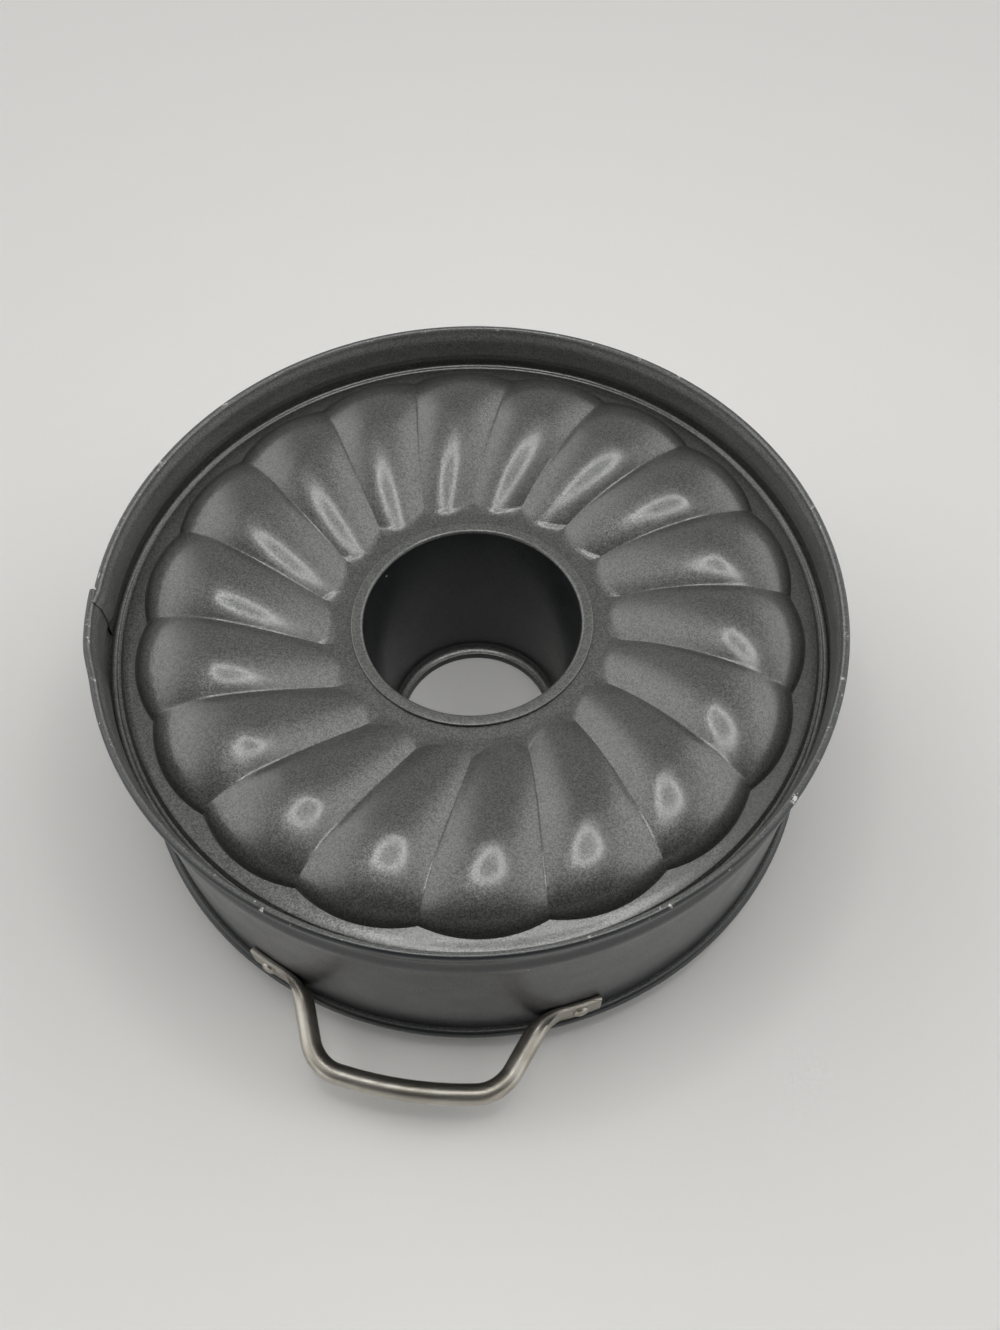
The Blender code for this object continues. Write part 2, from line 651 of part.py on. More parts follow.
def pin_stations(half_length, radius):
    """A pin with a head at each end, clear of what it holds by the fit gap."""
    head = radius + PIN_HEAD_EXTRA
    face = half_length + FIT_GAP
    return [(-face - PIN_HEAD_RISE, 0.8 * head), (-face - 0.4 * PIN_HEAD_RISE, head), (-face, head),
            (-face, radius), (face, radius), (face, head), (face + 0.4 * PIN_HEAD_RISE, head),
            (face + PIN_HEAD_RISE, 0.8 * head)]


def build_pin(name, point, half_length, radius):
    mesh_data = bmesh.new()
    spot = (point.x, point.y, LATCH_HEIGHT)
    add_spindle(mesh_data, pin_stations(half_length, radius), spot, (0.0, 0.0, 1.0), ROUND_SIDES)
    return finish(name, mesh_data, plated(name), spot)


def build_pivot_stub(name, side):
    """Short rivet that joins one lever cheek to one bracket ear, leaving the middle free."""
    cheek_outer = CHEEK_INNER + LEVER_SHEET
    head = PIVOT_PIN + PIN_HEAD_EXTRA
    inside = EAR_INNER - FIT_GAP
    outside = cheek_outer + FIT_GAP
    stations = [(inside - 0.5 * PIN_HEAD_RISE, head), (inside, head), (inside, PIVOT_PIN),
                (outside, PIVOT_PIN), (outside, head), (outside + 0.5 * PIN_HEAD_RISE, head),
                (outside + PIN_HEAD_RISE, 0.8 * head)]
    spot = pivot_point() + Vector((0.0, 0.0, LATCH_HEIGHT))
    mesh_data = bmesh.new()
    add_spindle(mesh_data, stations, spot, (0.0, 0.0, side), ROUND_SIDES)
    return finish(name, mesh_data, plated(name))


def lever_section(distance):
    """Reach above the wall of the lever's lower edge and back, by distance from the pivot."""
    share = smooth_step((distance - LEVER_WEB_START) / (LEVER_LENGTH - LEVER_WEB_START))
    low = PIVOT_REACH - LEVER_EYE
    tip = max(0.0, (distance - 0.8 * LEVER_LENGTH) / (0.2 * LEVER_LENGTH))
    lift = LEVER_TIP_LIFT * tip * tip
    back = LEVER_BACK + lift
    edge = low + (LEVER_BACK - 2.2 * LEVER_SHEET - low) * share + lift
    return edge, back


def lever_point(distance, reach):
    """Point beside the band, at a distance from the pivot away from the keeper."""
    azimuth = PIVOT_AZIMUTH - math.degrees(distance / WALL_RADIUS)
    return polar(WALL_RADIUS + reach, azimuth)


def build_lever():
    """Curved channel lever: its back starts clear of the crank pin and its cheeks reach the pivot."""
    outer = CHEEK_INNER + LEVER_SHEET
    mesh_data = bmesh.new()
    rings = []
    for step in range(9):
        distance = LEVER_LENGTH + (LEVER_WEB_START - LEVER_LENGTH) * step / 8
        edge, back = lever_section(distance)
        narrow = 1.0 - 0.22 * smooth_step((distance - 0.6 * LEVER_LENGTH) / (0.4 * LEVER_LENGTH))
        inside = back - LEVER_SHEET
        section = [(back, outer), (edge, outer), (edge, CHEEK_INNER), (inside, CHEEK_INNER),
                   (inside, -CHEEK_INNER), (edge, -CHEEK_INNER), (edge, -outer), (back, -outer),
                   (back, -CHEEK_INNER), (back, CHEEK_INNER)]
        ring = []
        for reach, height in section:
            point = lever_point(distance, reach)
            ring.append(mesh_data.verts.new((point.x, point.y, LATCH_HEIGHT + height * narrow)))
        rings.append(ring)
    for first, second in zip(rings, rings[1:]):
        for index in range(10):
            following = (index + 1) % 10
            mesh_data.faces.new((first[index], first[following], second[following], second[index]))
    parts = ((0, 1, 2, 3, 9), (3, 4, 8, 9), (8, 4, 5, 6, 7))
    for part in parts:
        mesh_data.faces.new([rings[0][index] for index in part])
    mesh_data.faces.new([rings[-1][index] for index in parts[1]])
    for part in (parts[0], parts[2]):
        add_cheek(mesh_data, [rings[-1][index] for index in part])
    pivot = pivot_point()
    origin = (pivot.x, pivot.y, LATCH_HEIGHT)
    lever = finish("latch_lever", mesh_data, plated("latch_lever"), origin)
    for label, point, radius in (("pivot", pivot, PIVOT_PIN), ("link", link_pin_point(), LINK_PIN)):
        cutter = bmesh.new()
        reach = CHEEK_INNER + CUTTER_REACH
        stations = [(-reach, radius + HOLE_GAP), (reach, radius + HOLE_GAP)]
        add_spindle(cutter, stations, (point.x, point.y, LATCH_HEIGHT), (0.0, 0.0, 1.0), ROUND_SIDES)
        boolean(lever, finish("latch_lever_" + label + "_hole", cutter, None))
    return lever


def add_cheek(mesh_data, first):
    """Carry one cheek on from the end of the lever's back, round the pivot's eye."""
    start_edge, start_back = lever_section(LEVER_WEB_START)
    outline = []
    for share in (0.75, 0.5, 0.25):
        distance = LEVER_WEB_START * share
        rounding = smooth_step(1.0 - share)
        back = start_back + (PIVOT_REACH + LEVER_EYE - start_back) * rounding
        edge = start_edge + (PIVOT_REACH - LEVER_EYE - start_edge) * rounding
        outline.append((distance, edge, back))
    for step in range(4):
        angle = math.radians(90.0 * step / 4)
        outline.append((-LEVER_EYE * math.sin(angle), PIVOT_REACH - LEVER_EYE * math.cos(angle),
                        PIVOT_REACH + LEVER_EYE * math.cos(angle)))
    order = [(vertex.co.z, vertex.co.xy.length - WALL_RADIUS) for vertex in first]
    previous = first
    for distance, edge, back in outline:
        ring = []
        for height, reach in order:
            share = (reach - start_edge) / (start_back - start_edge)
            point = lever_point(distance, edge + (back - edge) * share)
            ring.append(mesh_data.verts.new((point.x, point.y, height)))
        count = len(ring)
        for index in range(count):
            following = (index + 1) % count
            mesh_data.faces.new((previous[index], previous[following], ring[following], ring[index]))
        previous = ring
    mesh_data.faces.new(previous)


def build_link():
    """Strap from the crank pin to the keeper pin, with a loose round loop at the keeper."""
    start = link_pin_point()
    end = keeper_point()
    along = (end - start).normalized()
    side = Vector((-along.y, along.x, 0.0))
    half = 0.5 * LINK_SHEET
    outline = []
    for centre, radius, facing in ((start, LINK_EYE_RADIUS, -1.0), (end, LINK_LOOP_RADIUS, 1.0)):
        neck = math.degrees(math.asin(half / radius))
        for step in range(15):
            angle = math.radians(neck + (360.0 - 2.0 * neck) * step / 14)
            direction = -along * facing * math.cos(angle) + side * facing * -math.sin(angle)
            outline.append(centre + direction * radius)
    plan = [(point.x, point.y) for point in outline]
    mesh_data = bmesh.new()
    add_prism(mesh_data, plan, LATCH_HEIGHT - LINK_HALF_HEIGHT, LATCH_HEIGHT + LINK_HALF_HEIGHT)
    link = finish("latch_link", mesh_data, plated("latch_link"), (start.x, start.y, LATCH_HEIGHT))
    for label, point, radius in (("eye", start, LINK_PIN + HOLE_GAP), ("loop", end, LINK_LOOP_INNER)):
        cutter = bmesh.new()
        reach = LINK_HALF_HEIGHT + CUTTER_REACH
        add_spindle(cutter, [(-reach, radius), (reach, radius)], (point.x, point.y, LATCH_HEIGHT),
                    (0.0, 0.0, 1.0), LOOP_SIDES)
        boolean(link, finish("latch_link_" + label + "_hole", cutter, None))
    return link


def build_latch():
    build_bracket("latch_bracket", PIVOT_AZIMUTH, WALL_RADIUS, pivot_point(), PIVOT_PIN)
    build_bracket("keeper_bracket", KEEPER_AZIMUTH, WALL_RADIUS + LAP_STEP, keeper_point(), KEEPER_PIN)
    bracket_outer = WALL_RADIUS + FIT_GAP + BRACKET_SHEET
    for label, (azimuth, height) in zip(("upper", "lower"), bracket_rivet_spots(PIVOT_AZIMUTH)):
        build_rivet("latch_bracket_rivet_" + label, azimuth, height, bracket_outer)
    for label, (azimuth, height) in zip(("upper", "lower"), bracket_rivet_spots(KEEPER_AZIMUTH)):
        build_rivet("keeper_bracket_rivet_" + label, azimuth, height, bracket_outer + LAP_STEP, LAP_STEP)
    build_lever()
    build_pivot_stub("latch_pivot_upper", 1.0)
    build_pivot_stub("latch_pivot_lower", -1.0)
    build_pin("latch_link_pin", link_pin_point(), CHEEK_INNER + LEVER_SHEET, LINK_PIN)
    build_link()
    build_pin("keeper_pin", keeper_point(), EAR_INNER + EAR_SHEET, KEEPER_PIN)


def build_handles():
    tab_outer = WALL_RADIUS + FIT_GAP + TAB_THICKNESS
    for side, azimuth in (("near", HANDLE_AZIMUTH), ("far", HANDLE_AZIMUTH - 180.0)):
        build_handle("handle_" + side, azimuth)
        for label, (rivet_azimuth, height) in zip(("a", "b"), handle_rivet_spots(azimuth)):
            build_rivet("handle_rivet_" + side + "_" + label, rivet_azimuth, height, tab_outer)


def main():
    clear_scene()
    build_band_far()
    build_band_near()
    build_base()
    build_tube()
    build_handles()
    build_latch()


if __name__ == "__main__":
    main()
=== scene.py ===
"""Springform bundt pan on a pale table: coated steel band, fluted base and tube, stainless handles."""
import math

import bmesh
import bpy
from bpy.props import FloatProperty, FloatVectorProperty, IntProperty, PointerProperty
from mathutils import Matrix, Vector


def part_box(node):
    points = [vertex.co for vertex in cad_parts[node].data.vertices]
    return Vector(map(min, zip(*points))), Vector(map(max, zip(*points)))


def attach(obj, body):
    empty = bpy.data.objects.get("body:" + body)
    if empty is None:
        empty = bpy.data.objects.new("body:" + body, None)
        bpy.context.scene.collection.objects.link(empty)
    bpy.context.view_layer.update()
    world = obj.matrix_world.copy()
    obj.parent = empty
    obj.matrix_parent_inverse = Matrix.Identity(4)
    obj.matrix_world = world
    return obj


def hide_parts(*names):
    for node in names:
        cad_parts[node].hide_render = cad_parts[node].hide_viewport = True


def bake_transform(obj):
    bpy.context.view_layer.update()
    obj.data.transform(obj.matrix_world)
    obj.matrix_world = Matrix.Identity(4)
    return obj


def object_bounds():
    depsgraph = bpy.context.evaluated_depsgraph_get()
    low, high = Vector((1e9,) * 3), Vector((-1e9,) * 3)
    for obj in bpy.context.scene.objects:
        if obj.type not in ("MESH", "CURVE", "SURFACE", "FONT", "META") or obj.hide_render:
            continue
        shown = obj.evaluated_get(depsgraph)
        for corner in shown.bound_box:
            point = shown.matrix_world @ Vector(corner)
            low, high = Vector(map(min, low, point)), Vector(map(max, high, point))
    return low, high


bl_info = {
    "name": "Springform Bundt Pan",
    "version": (1, 0, 0),
    "blender": (4, 5, 0),
    "location": "3D View > Sidebar > Pan",
    "description": "Builds the coated springform bundt pan, its handles, its latch and a plain studio",
    "category": "Add Mesh",
}

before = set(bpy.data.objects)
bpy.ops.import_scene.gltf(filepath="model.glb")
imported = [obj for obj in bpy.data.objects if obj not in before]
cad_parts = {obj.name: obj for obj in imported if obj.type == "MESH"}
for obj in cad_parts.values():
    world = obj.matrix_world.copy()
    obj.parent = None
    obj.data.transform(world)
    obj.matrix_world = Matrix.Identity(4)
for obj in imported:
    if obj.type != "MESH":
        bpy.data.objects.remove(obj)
cad_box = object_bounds()
TABLE_HEIGHT = cad_box[0][2]
TOP = cad_box[1][2]
MM = 0.001
FIT_GAP = 0.3 * MM


# Colour and node helpers
def linear(code):
    """Linear colour with alpha from an sRGB hex code such as 3A3B3D."""
    channels = [int(code[start:start + 2], 16) / 255.0 for start in (0, 2, 4)]
    curved = [c / 12.92 if c <= 0.04045 else ((c + 0.055) / 1.055) ** 2.4 for c in channels]
    return (*curved, 1.0)


def add_node(tree, kind, settings=None, inputs=None, links=None):
    """Add one node, set its properties and sockets, and link sockets from other nodes' outputs."""
    node = tree.nodes.new(kind)
    for key, value in (settings or {}).items():
        setattr(node, key, value)
    for key, value in (inputs or {}).items():
        node.inputs[key].default_value = value
    for key, source in (links or {}).items():
        tree.links.new(source, node.inputs[key])
    return node


def new_material(name):
    """A material with a shader wired to its output, ready for a pattern."""
    item = bpy.data.materials.new(name)
    item.use_nodes = True
    tree = item.node_tree
    tree.nodes.clear()
    shader = add_node(tree, "ShaderNodeBsdfPrincipled")
    add_node(tree, "ShaderNodeOutputMaterial", links={"Surface": shader.outputs["BSDF"]})
    return item, tree, shader


def ramp(tree, source, stops):
    """Colour ramp over a value, from (place, colour) stops."""
    node = add_node(tree, "ShaderNodeValToRGB", links={"Fac": source})
    elements = node.color_ramp.elements
    while len(elements) < len(stops):
        elements.new(0.5)
    for element, (place, colour) in zip(elements, stops):
        element.position = place
        element.color = colour
    return node.outputs["Color"]


def grey(value):
    """Opaque grey of a linear value."""
    return (value, value, value, 1.0)


# Mesh helpers
def arc(centre, radius, start, end, steps):
    """Points of a circular arc as (radius, height) pairs, both ends included."""
    turn = (end - start) / steps
    angles = [math.radians(start + turn * step) for step in range(steps + 1)]
    return [(centre[0] + radius * math.cos(a), centre[1] + radius * math.sin(a)) for a in angles]


def smooth_step(value):
    """Ease from 0 to 1, level at both ends."""
    value = min(max(value, 0.0), 1.0)
    return value * value * (3.0 - 2.0 * value)


def polar(radius, azimuth, height=0.0):
    """Point at a radius, an azimuth in degrees and a height about the pan's axis."""
    angle = math.radians(azimuth)
    return Vector((radius * math.cos(angle), radius * math.sin(angle), height))


def spun(profile, start, end, steps):
    """Turn a closed section about the pan's axis between two azimuths, capping an open turn."""
    shape = bmesh.new()
    full = abs(end - start) >= 359.999
    corners = [shape.verts.new(polar(radius, start, height)) for radius, height in profile]
    loop = [shape.edges.new((a, b)) for a, b in zip(corners, corners[1:] + corners[:1])]
    result = bmesh.ops.spin(shape, geom=corners + loop, cent=(0, 0, 0), axis=(0, 0, 1),
                            angle=math.radians(end - start), steps=steps, use_merge=full)
    if not full:
        last = [item for item in result["geom_last"] if isinstance(item, bmesh.types.BMEdge)]
        bmesh.ops.contextual_create(shape, geom=loop)
        bmesh.ops.contextual_create(shape, geom=last)
    bmesh.ops.recalc_face_normals(shape, faces=shape.faces)
    return shape


def piece(name, shape, finish, sharp=40.0):
    """Make the finished object of a bmesh, smooth apart from edges sharper than an angle."""
    mesh = bpy.data.meshes.new(name)
    shape.to_mesh(mesh)
    shape.free()
    mesh.shade_smooth()
    mesh.set_sharp_from_angle(angle=math.radians(sharp))
    item = bpy.data.objects.new(name, mesh)
    bpy.context.scene.collection.objects.link(item)
    mesh.materials.append(finish)
    return item


def joined(first, second):
    """Add the geometry of the second bmesh to the first."""
    mesh = bpy.data.meshes.new("joined")
    second.to_mesh(mesh)
    second.free()
    first.from_mesh(mesh)
    bpy.data.meshes.remove(mesh)
    return first


def hermite(start, start_slope, end, end_slope, share):
    """Point on the smooth curve between two points that leaves and arrives with the given slopes."""
    squared = share * share
    cubed = squared * share
    start, start_slope, end, end_slope = (Vector(v) for v in (start, start_slope, end, end_slope))
    return ((2.0 * cubed - 3.0 * squared + 1.0) * start + (cubed - 2.0 * squared + share) * start_slope
            + (3.0 * squared - 2.0 * cubed) * end + (cubed - squared) * end_slope)


def sweep_bend(start, start_slope, end, end_slope, steps):
    """Points inside such a curve as pairs, without its two ends."""
    return [tuple(hermite(start, start_slope, end, end_slope, step / steps)) for step in range(1, steps)]


# Sizes and finishes that a user may change
class PanSizes(bpy.types.PropertyGroup):
    wall_radius: FloatProperty(name="Wall radius", description="Outer radius of the side band's wall",
                               default=0.1168, unit="LENGTH")
    band_height: FloatProperty(name="Band height", description="Height of the side band",
                               default=0.0800, unit="LENGTH")
    sheet: FloatProperty(name="Band sheet", description="Thickness of the side band and of the tube",
                         default=0.0007, unit="LENGTH")
    base_bead: FloatProperty(name="Base bead radius", description="Radius of the rolled edge at the base",
                             default=0.00115, unit="LENGTH")
    flare: FloatProperty(name="Flare", description="Depth over which the wall flares out to its base bead",
                         default=0.0050, unit="LENGTH")
    mouth_bead: FloatProperty(name="Mouth bead radius", description="Radius of the rolled mouth rim",
                              default=0.0018, unit="LENGTH")
    lap_step: FloatProperty(name="Lap step", description="How far the outer band end stands off the inner",
                            default=0.0013, unit="LENGTH")
    plate_depth: FloatProperty(name="Plate depth",
                               description="Depth of the base plate's flat rim below the band's edge",
                               default=0.0160, unit="LENGTH")
    plate_sheet: FloatProperty(name="Plate sheet", description="Thickness of the fluted base",
                               default=0.0008, unit="LENGTH")
    petals: IntProperty(name="Petals", description="Number of petals pressed into the base",
                        default=18, min=3)
    petal_columns: IntProperty(name="Petal columns", description="Mesh columns across one petal",
                               default=24, min=6)
    tube_radius: FloatProperty(name="Tube radius", description="Inner radius at the tube's wide end",
                               default=0.0361, unit="LENGTH")
    tube_foot: FloatProperty(name="Tube foot", description="Inner radius of the tube's foot",
                             default=0.0277, unit="LENGTH")
    handle_rod: FloatProperty(name="Handle rod", description="Diameter of the handle's rod",
                              default=0.0063, unit="LENGTH")


class PanFinish(bpy.types.PropertyGroup):
    coating: FloatVectorProperty(name="Coating", description="Body colour of the non-stick coating",
                                 default=linear("444543"), size=4, subtype="COLOR", min=0.0, max=1.0)
    # Painted shade: this darker flake-free coat darkens the band's outer face and the tube's upright wall
    plain: FloatVectorProperty(name="Plain coating", description="Colour of the coat that holds no flake",
                               default=linear("26282A"), size=4, subtype="COLOR", min=0.0, max=1.0)
    fleck: FloatVectorProperty(name="Fleck", description="Colour of the metal flecks in the coating",
                               default=linear("70716D"), size=4, subtype="COLOR", min=0.0, max=1.0)
    worn: FloatVectorProperty(name="Worn steel", description="Colour of bare steel where the rim is worn",
                              default=linear("D2D2CE"), size=4, subtype="COLOR", min=0.0, max=1.0)
    steel: FloatVectorProperty(name="Steel", description="Colour of the brushed stainless handles",
                               default=linear("B8B4AB"), size=4, subtype="COLOR", min=0.0, max=1.0)
    plating: FloatVectorProperty(name="Plating", description="Colour of the zinc-plated latch",
                                 default=linear("BEBFBC"), size=4, subtype="COLOR", min=0.0, max=1.0)


class PanStudio(bpy.types.PropertyGroup):
    table: FloatVectorProperty(name="Table", description="Colour of the table",
                               default=linear("EEEDEA"), size=4, subtype="COLOR", min=0.0, max=1.0)
    ring_strength: FloatProperty(name="Ring lamp", description="Brightness of the ring lamp overhead",
                                 default=9.5, min=0.0)
    tent_strength: FloatProperty(name="Tent", description="Brightness of the white sides of the light tent",
                                 default=1.0, min=0.0)


# Materials
def painted_shade_share(tree, place, painted_shade_on):
    """Share of painted shade, a darker flake-free coat: on the band's outer face, or on the upright wall of
    the tube.
    """
    if painted_shade_on == "outer face":
        outward = add_node(tree, "ShaderNodeVectorMath", {"operation": "MULTIPLY"}, None,
                           {0: place.outputs["Object"]})
        outward.inputs[1].default_value = (1.0, 1.0, 0.0)
        facing = add_node(tree, "ShaderNodeVectorMath", {"operation": "DOT_PRODUCT"}, None,
                          {0: outward.outputs["Vector"], 1: place.outputs["Normal"]}).outputs["Value"]
        limits = {"From Min": -0.04, "From Max": 0.06}
    else:
        facing = add_node(tree, "ShaderNodeSeparateXYZ", None, None,
                          {"Vector": place.outputs["Normal"]}).outputs["Z"]
        limits = {"From Min": 0.85, "From Max": 0.25}
    return add_node(tree, "ShaderNodeMapRange", None, limits, {"Value": facing}).outputs["Result"]


def coated_steel(colours, name, painted_shade_on, metal_share):
    """Grey non-stick coating sprayed on steel: satin, with a fine soft sparkle where it holds flake; some
    faces get a darker flake-free coat as painted shade.
    """
    item, tree, shader = new_material(name)
    place = add_node(tree, "ShaderNodeTexCoord")
    spot = place.outputs["Object"]
    # Flakes of 0.1 mm, drawn at 0.35 mm so that they show
    flakes = add_node(tree, "ShaderNodeTexVoronoi", None, {"Scale": 2800.0}, {"Vector": spot})
    # Each flake leans its own way by a few degrees
    tilt = add_node(tree, "ShaderNodeVectorMath", {"operation": "MULTIPLY_ADD"}, None,
                    {0: flakes.outputs["Color"]})
    tilt.inputs[1].default_value = (0.10, 0.10, 0.10)
    tilt.inputs[2].default_value = (-0.05, -0.05, -0.05)
    face = add_node(tree, "ShaderNodeNewGeometry")
    leaned = add_node(tree, "ShaderNodeVectorMath", {"operation": "ADD"}, None,
                      {0: face.outputs["Normal"], 1: tilt.outputs["Vector"]})
    unit = add_node(tree, "ShaderNodeVectorMath", {"operation": "NORMALIZE"}, None,
                    {0: leaned.outputs["Vector"]})
    # Orange peel of the sprayed film, about 2 mm from crest to crest
    peel = add_node(tree, "ShaderNodeTexNoise", None, {"Scale": 450.0, "Detail": 2.0}, {"Vector": spot})
    bump = add_node(tree, "ShaderNodeBump", None, {"Strength": 0.12, "Distance": 0.00005},
                    {"Height": peel.outputs["Fac"], "Normal": unit.outputs["Vector"]})
    tree.links.new(bump.outputs["Normal"], shader.inputs["Normal"])
    body = add_node(tree, "ShaderNodeMix", {"data_type": "RGBA"})
    body.inputs["A"].default_value = colours.coating
    body.inputs["B"].default_value = colours.fleck
    # Rim wear: bare dashes along the crown of the base bead, where the pan has been knocked
    height = add_node(tree, "ShaderNodeSeparateXYZ", None, None, {"Vector": spot}).outputs["Z"]
    crown = add_node(tree, "ShaderNodeMapRange", {"interpolation_type": "SMOOTHSTEP"},
                     {"From Min": TOP - 1.1 * MM, "From Max": TOP - 0.2 * MM}, {"Value": height})
    knocks = add_node(tree, "ShaderNodeTexNoise", None, {"Scale": 260.0, "Detail": 6.0, "Roughness": 0.75},
                      {"Vector": spot})
    patch = add_node(tree, "ShaderNodeMapRange", None, {"From Min": 0.61, "From Max": 0.66},
                     {"Value": knocks.outputs["Fac"]})
    wear = add_node(tree, "ShaderNodeMath", {"operation": "MULTIPLY"}, None,
                    {0: crown.outputs["Result"], 1: patch.outputs["Result"]})
    # Nicks: pale points about 0.8 mm wide, a few centimetres apart
    nicks = add_node(tree, "ShaderNodeTexVoronoi", None, {"Scale": 42.0}, {"Vector": spot})
    nick = add_node(tree, "ShaderNodeMapRange", None,
                    {"From Min": 0.012, "From Max": 0.020, "To Min": 1.0, "To Max": 0.0},
                    {"Value": nicks.outputs["Distance"]})
    bare = add_node(tree, "ShaderNodeMath", {"operation": "MAXIMUM"}, None,
                    {0: wear.outputs["Value"], 1: nick.outputs["Result"]})
    flake_shade = add_node(tree, "ShaderNodeSeparateColor", None, None, {"Color": flakes.outputs["Color"]})
    tree.links.new(flake_shade.outputs["Red"], body.inputs["Factor"])
    # Painted shade: the flake-free coat is darker, and its top coat is thinner so that it reflects less
    film = add_node(tree, "ShaderNodeMix", {"data_type": "RGBA"}, {"Factor": 0.0},
                    {"A": body.outputs["Result"]})
    film.inputs["B"].default_value = colours.plain
    shader.inputs["Coat Weight"].default_value = 1.0
    if painted_shade_on:
        plain = painted_shade_share(tree, place, painted_shade_on)
        tree.links.new(plain, film.inputs["Factor"])
        painted_shade_coat_weight = add_node(tree, "ShaderNodeMapRange", None, {"To Min": 1.0, "To Max": 0.3}, {"Value": plain})
        tree.links.new(painted_shade_coat_weight.outputs["Result"], shader.inputs["Coat Weight"])
    painted = add_node(tree, "ShaderNodeMix", {"data_type": "RGBA"}, None,
                       {"Factor": bare.outputs["Value"], "A": film.outputs["Result"]})
    painted.inputs["B"].default_value = colours.worn
    tree.links.new(painted.outputs["Result"], shader.inputs["Base Color"])
    # Clouding of the baked film over about 12 mm
    cloud = add_node(tree, "ShaderNodeTexNoise", None, {"Scale": 80.0, "Detail": 3.0}, {"Vector": spot})
    rough = add_node(tree, "ShaderNodeMapRange", None,
                     {"From Min": 0.3, "From Max": 0.7, "To Min": 0.34, "To Max": 0.42},
                     {"Value": cloud.outputs["Fac"]})
    tree.links.new(rough.outputs["Result"], shader.inputs["Roughness"])
    shader.inputs["Metallic"].default_value = metal_share
    # The clear top coat shows the lamp as a ring
    shader.inputs["Coat Roughness"].default_value = 0.19
    return item


def brushed_stainless(colours):
    """Stainless steel rod, brushed along its length: dark and bright bands with fine streaks."""
    item, tree, shader = new_material("brushed_stainless_steel")
    spot = add_node(tree, "ShaderNodeTexCoord").outputs["Object"]
    # Brush lines of 0.1 mm, drawn 0.6 mm apart so that they show
    stretch = add_node(tree, "ShaderNodeMapping", None, {"Scale": (120.0, 1600.0, 1600.0)},
                       {"Vector": spot})
    streaks = add_node(tree, "ShaderNodeTexNoise", None, {"Scale": 1.0, "Detail": 3.0},
                       {"Vector": stretch.outputs["Vector"]})
    # Handling stains over about 10 mm
    stain = add_node(tree, "ShaderNodeTexNoise", None, {"Scale": 100.0, "Detail": 4.0}, {"Vector": spot})
    tone = ramp(tree, stain.outputs["Fac"], [(0.35, colours.steel), (0.7, linear("A09A8F"))])
    tree.links.new(tone, shader.inputs["Base Color"])
    shader.inputs["Metallic"].default_value = 1.0
    rough = add_node(tree, "ShaderNodeMapRange", None,
                     {"From Min": 0.3, "From Max": 0.7, "To Min": 0.32, "To Max": 0.44},
                     {"Value": streaks.outputs["Fac"]})
    tree.links.new(rough.outputs["Result"], shader.inputs["Roughness"])
    bump = add_node(tree, "ShaderNodeBump", None, {"Strength": 0.15, "Distance": 0.00003},
                    {"Height": streaks.outputs["Fac"]})
    tree.links.new(bump.outputs["Normal"], shader.inputs["Normal"])
    return item


def plated_steel(colours):
    """Zinc-plated pressed steel: a soft grey metal with faint cloudy spangle."""
    item, tree, shader = new_material("zinc_plated_steel")
    spot = add_node(tree, "ShaderNodeTexCoord").outputs["Object"]
    # Spangle of about 2.5 mm
    cloud = add_node(tree, "ShaderNodeTexNoise", None, {"Scale": 400.0, "Detail": 4.0}, {"Vector": spot})
    tone = ramp(tree, cloud.outputs["Fac"], [(0.3, colours.plating), (0.75, linear("A3A4A1"))])
    tree.links.new(tone, shader.inputs["Base Color"])
    shader.inputs["Metallic"].default_value = 1.0
    rough = add_node(tree, "ShaderNodeMapRange", None,
                     {"From Min": 0.3, "From Max": 0.7, "To Min": 0.25, "To Max": 0.42},
                     {"Value": cloud.outputs["Fac"]})
    tree.links.new(rough.outputs["Result"], shader.inputs["Roughness"])
    grain = add_node(tree, "ShaderNodeTexNoise", None, {"Scale": 2200.0, "Detail": 2.0}, {"Vector": spot})
    bump = add_node(tree, "ShaderNodeBump", None, {"Strength": 0.12, "Distance": 0.00003},
                    {"Height": grain.outputs["Fac"]})
    tree.links.new(bump.outputs["Normal"], shader.inputs["Normal"])
    return item


def surface(name, colours):
    """The pan's material of that name, made once."""
    made = bpy.data.materials.get(name)
    if made:
        return made
    if name == "brushed_stainless_steel":
        return brushed_stainless(colours)
    if name == "zinc_plated_steel":
        return plated_steel(colours)
    # The band's outer face and the tube's upright wall are painted darker as shade
    coats = {"non_stick_coated_steel": (None, 0.65), "band_coated_steel": ("outer face", 0.18),
             "painted_shade_coated_steel": ("upright wall", 0.30)}
    return coated_steel(colours, name, *coats[name])


def fit(item, node, body):
    """Let a finished piece stand for a CAD node, hiding the node, and move with a body."""
    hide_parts(node)
    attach(item, body)


# Side band
SEAM_AZIMUTH = 6.0
TONGUE_END = 184.4
NEST_END = 190.0
NEST_PRESS = 0.9 * MM
FLAP_START = 170.4
FLAP_END = 182.0
JOGGLE = (191.0, 199.0)
GROOVE_DROP = 1.8 * MM
GROOVE_RISE = 6.0 * MM
GROOVE_FALL = 2.7 * MM
GROOVE_DEPTH = 1.0 * MM
UPPER_SLOPE = 5.1 * MM
LOWER_SLOPE = 1.6 * MM
RIDGE_HEIGHT = 1.3 * MM
BASE_BEAD_OUTSET = 1.5 * MM
MOUTH_BEAD_OUTSET = 1.2 * MM
MOUTH_FLAT_ANGLE = 18.0


def annulus_height(sizes):
    """Height of the base plate's flat rim."""
    return TOP - sizes.plate_depth


def groove_height(sizes):
    """Height of the middle of the groove that the base plate's rolled edge sits in."""
    return annulus_height(sizes) - GROOVE_DROP


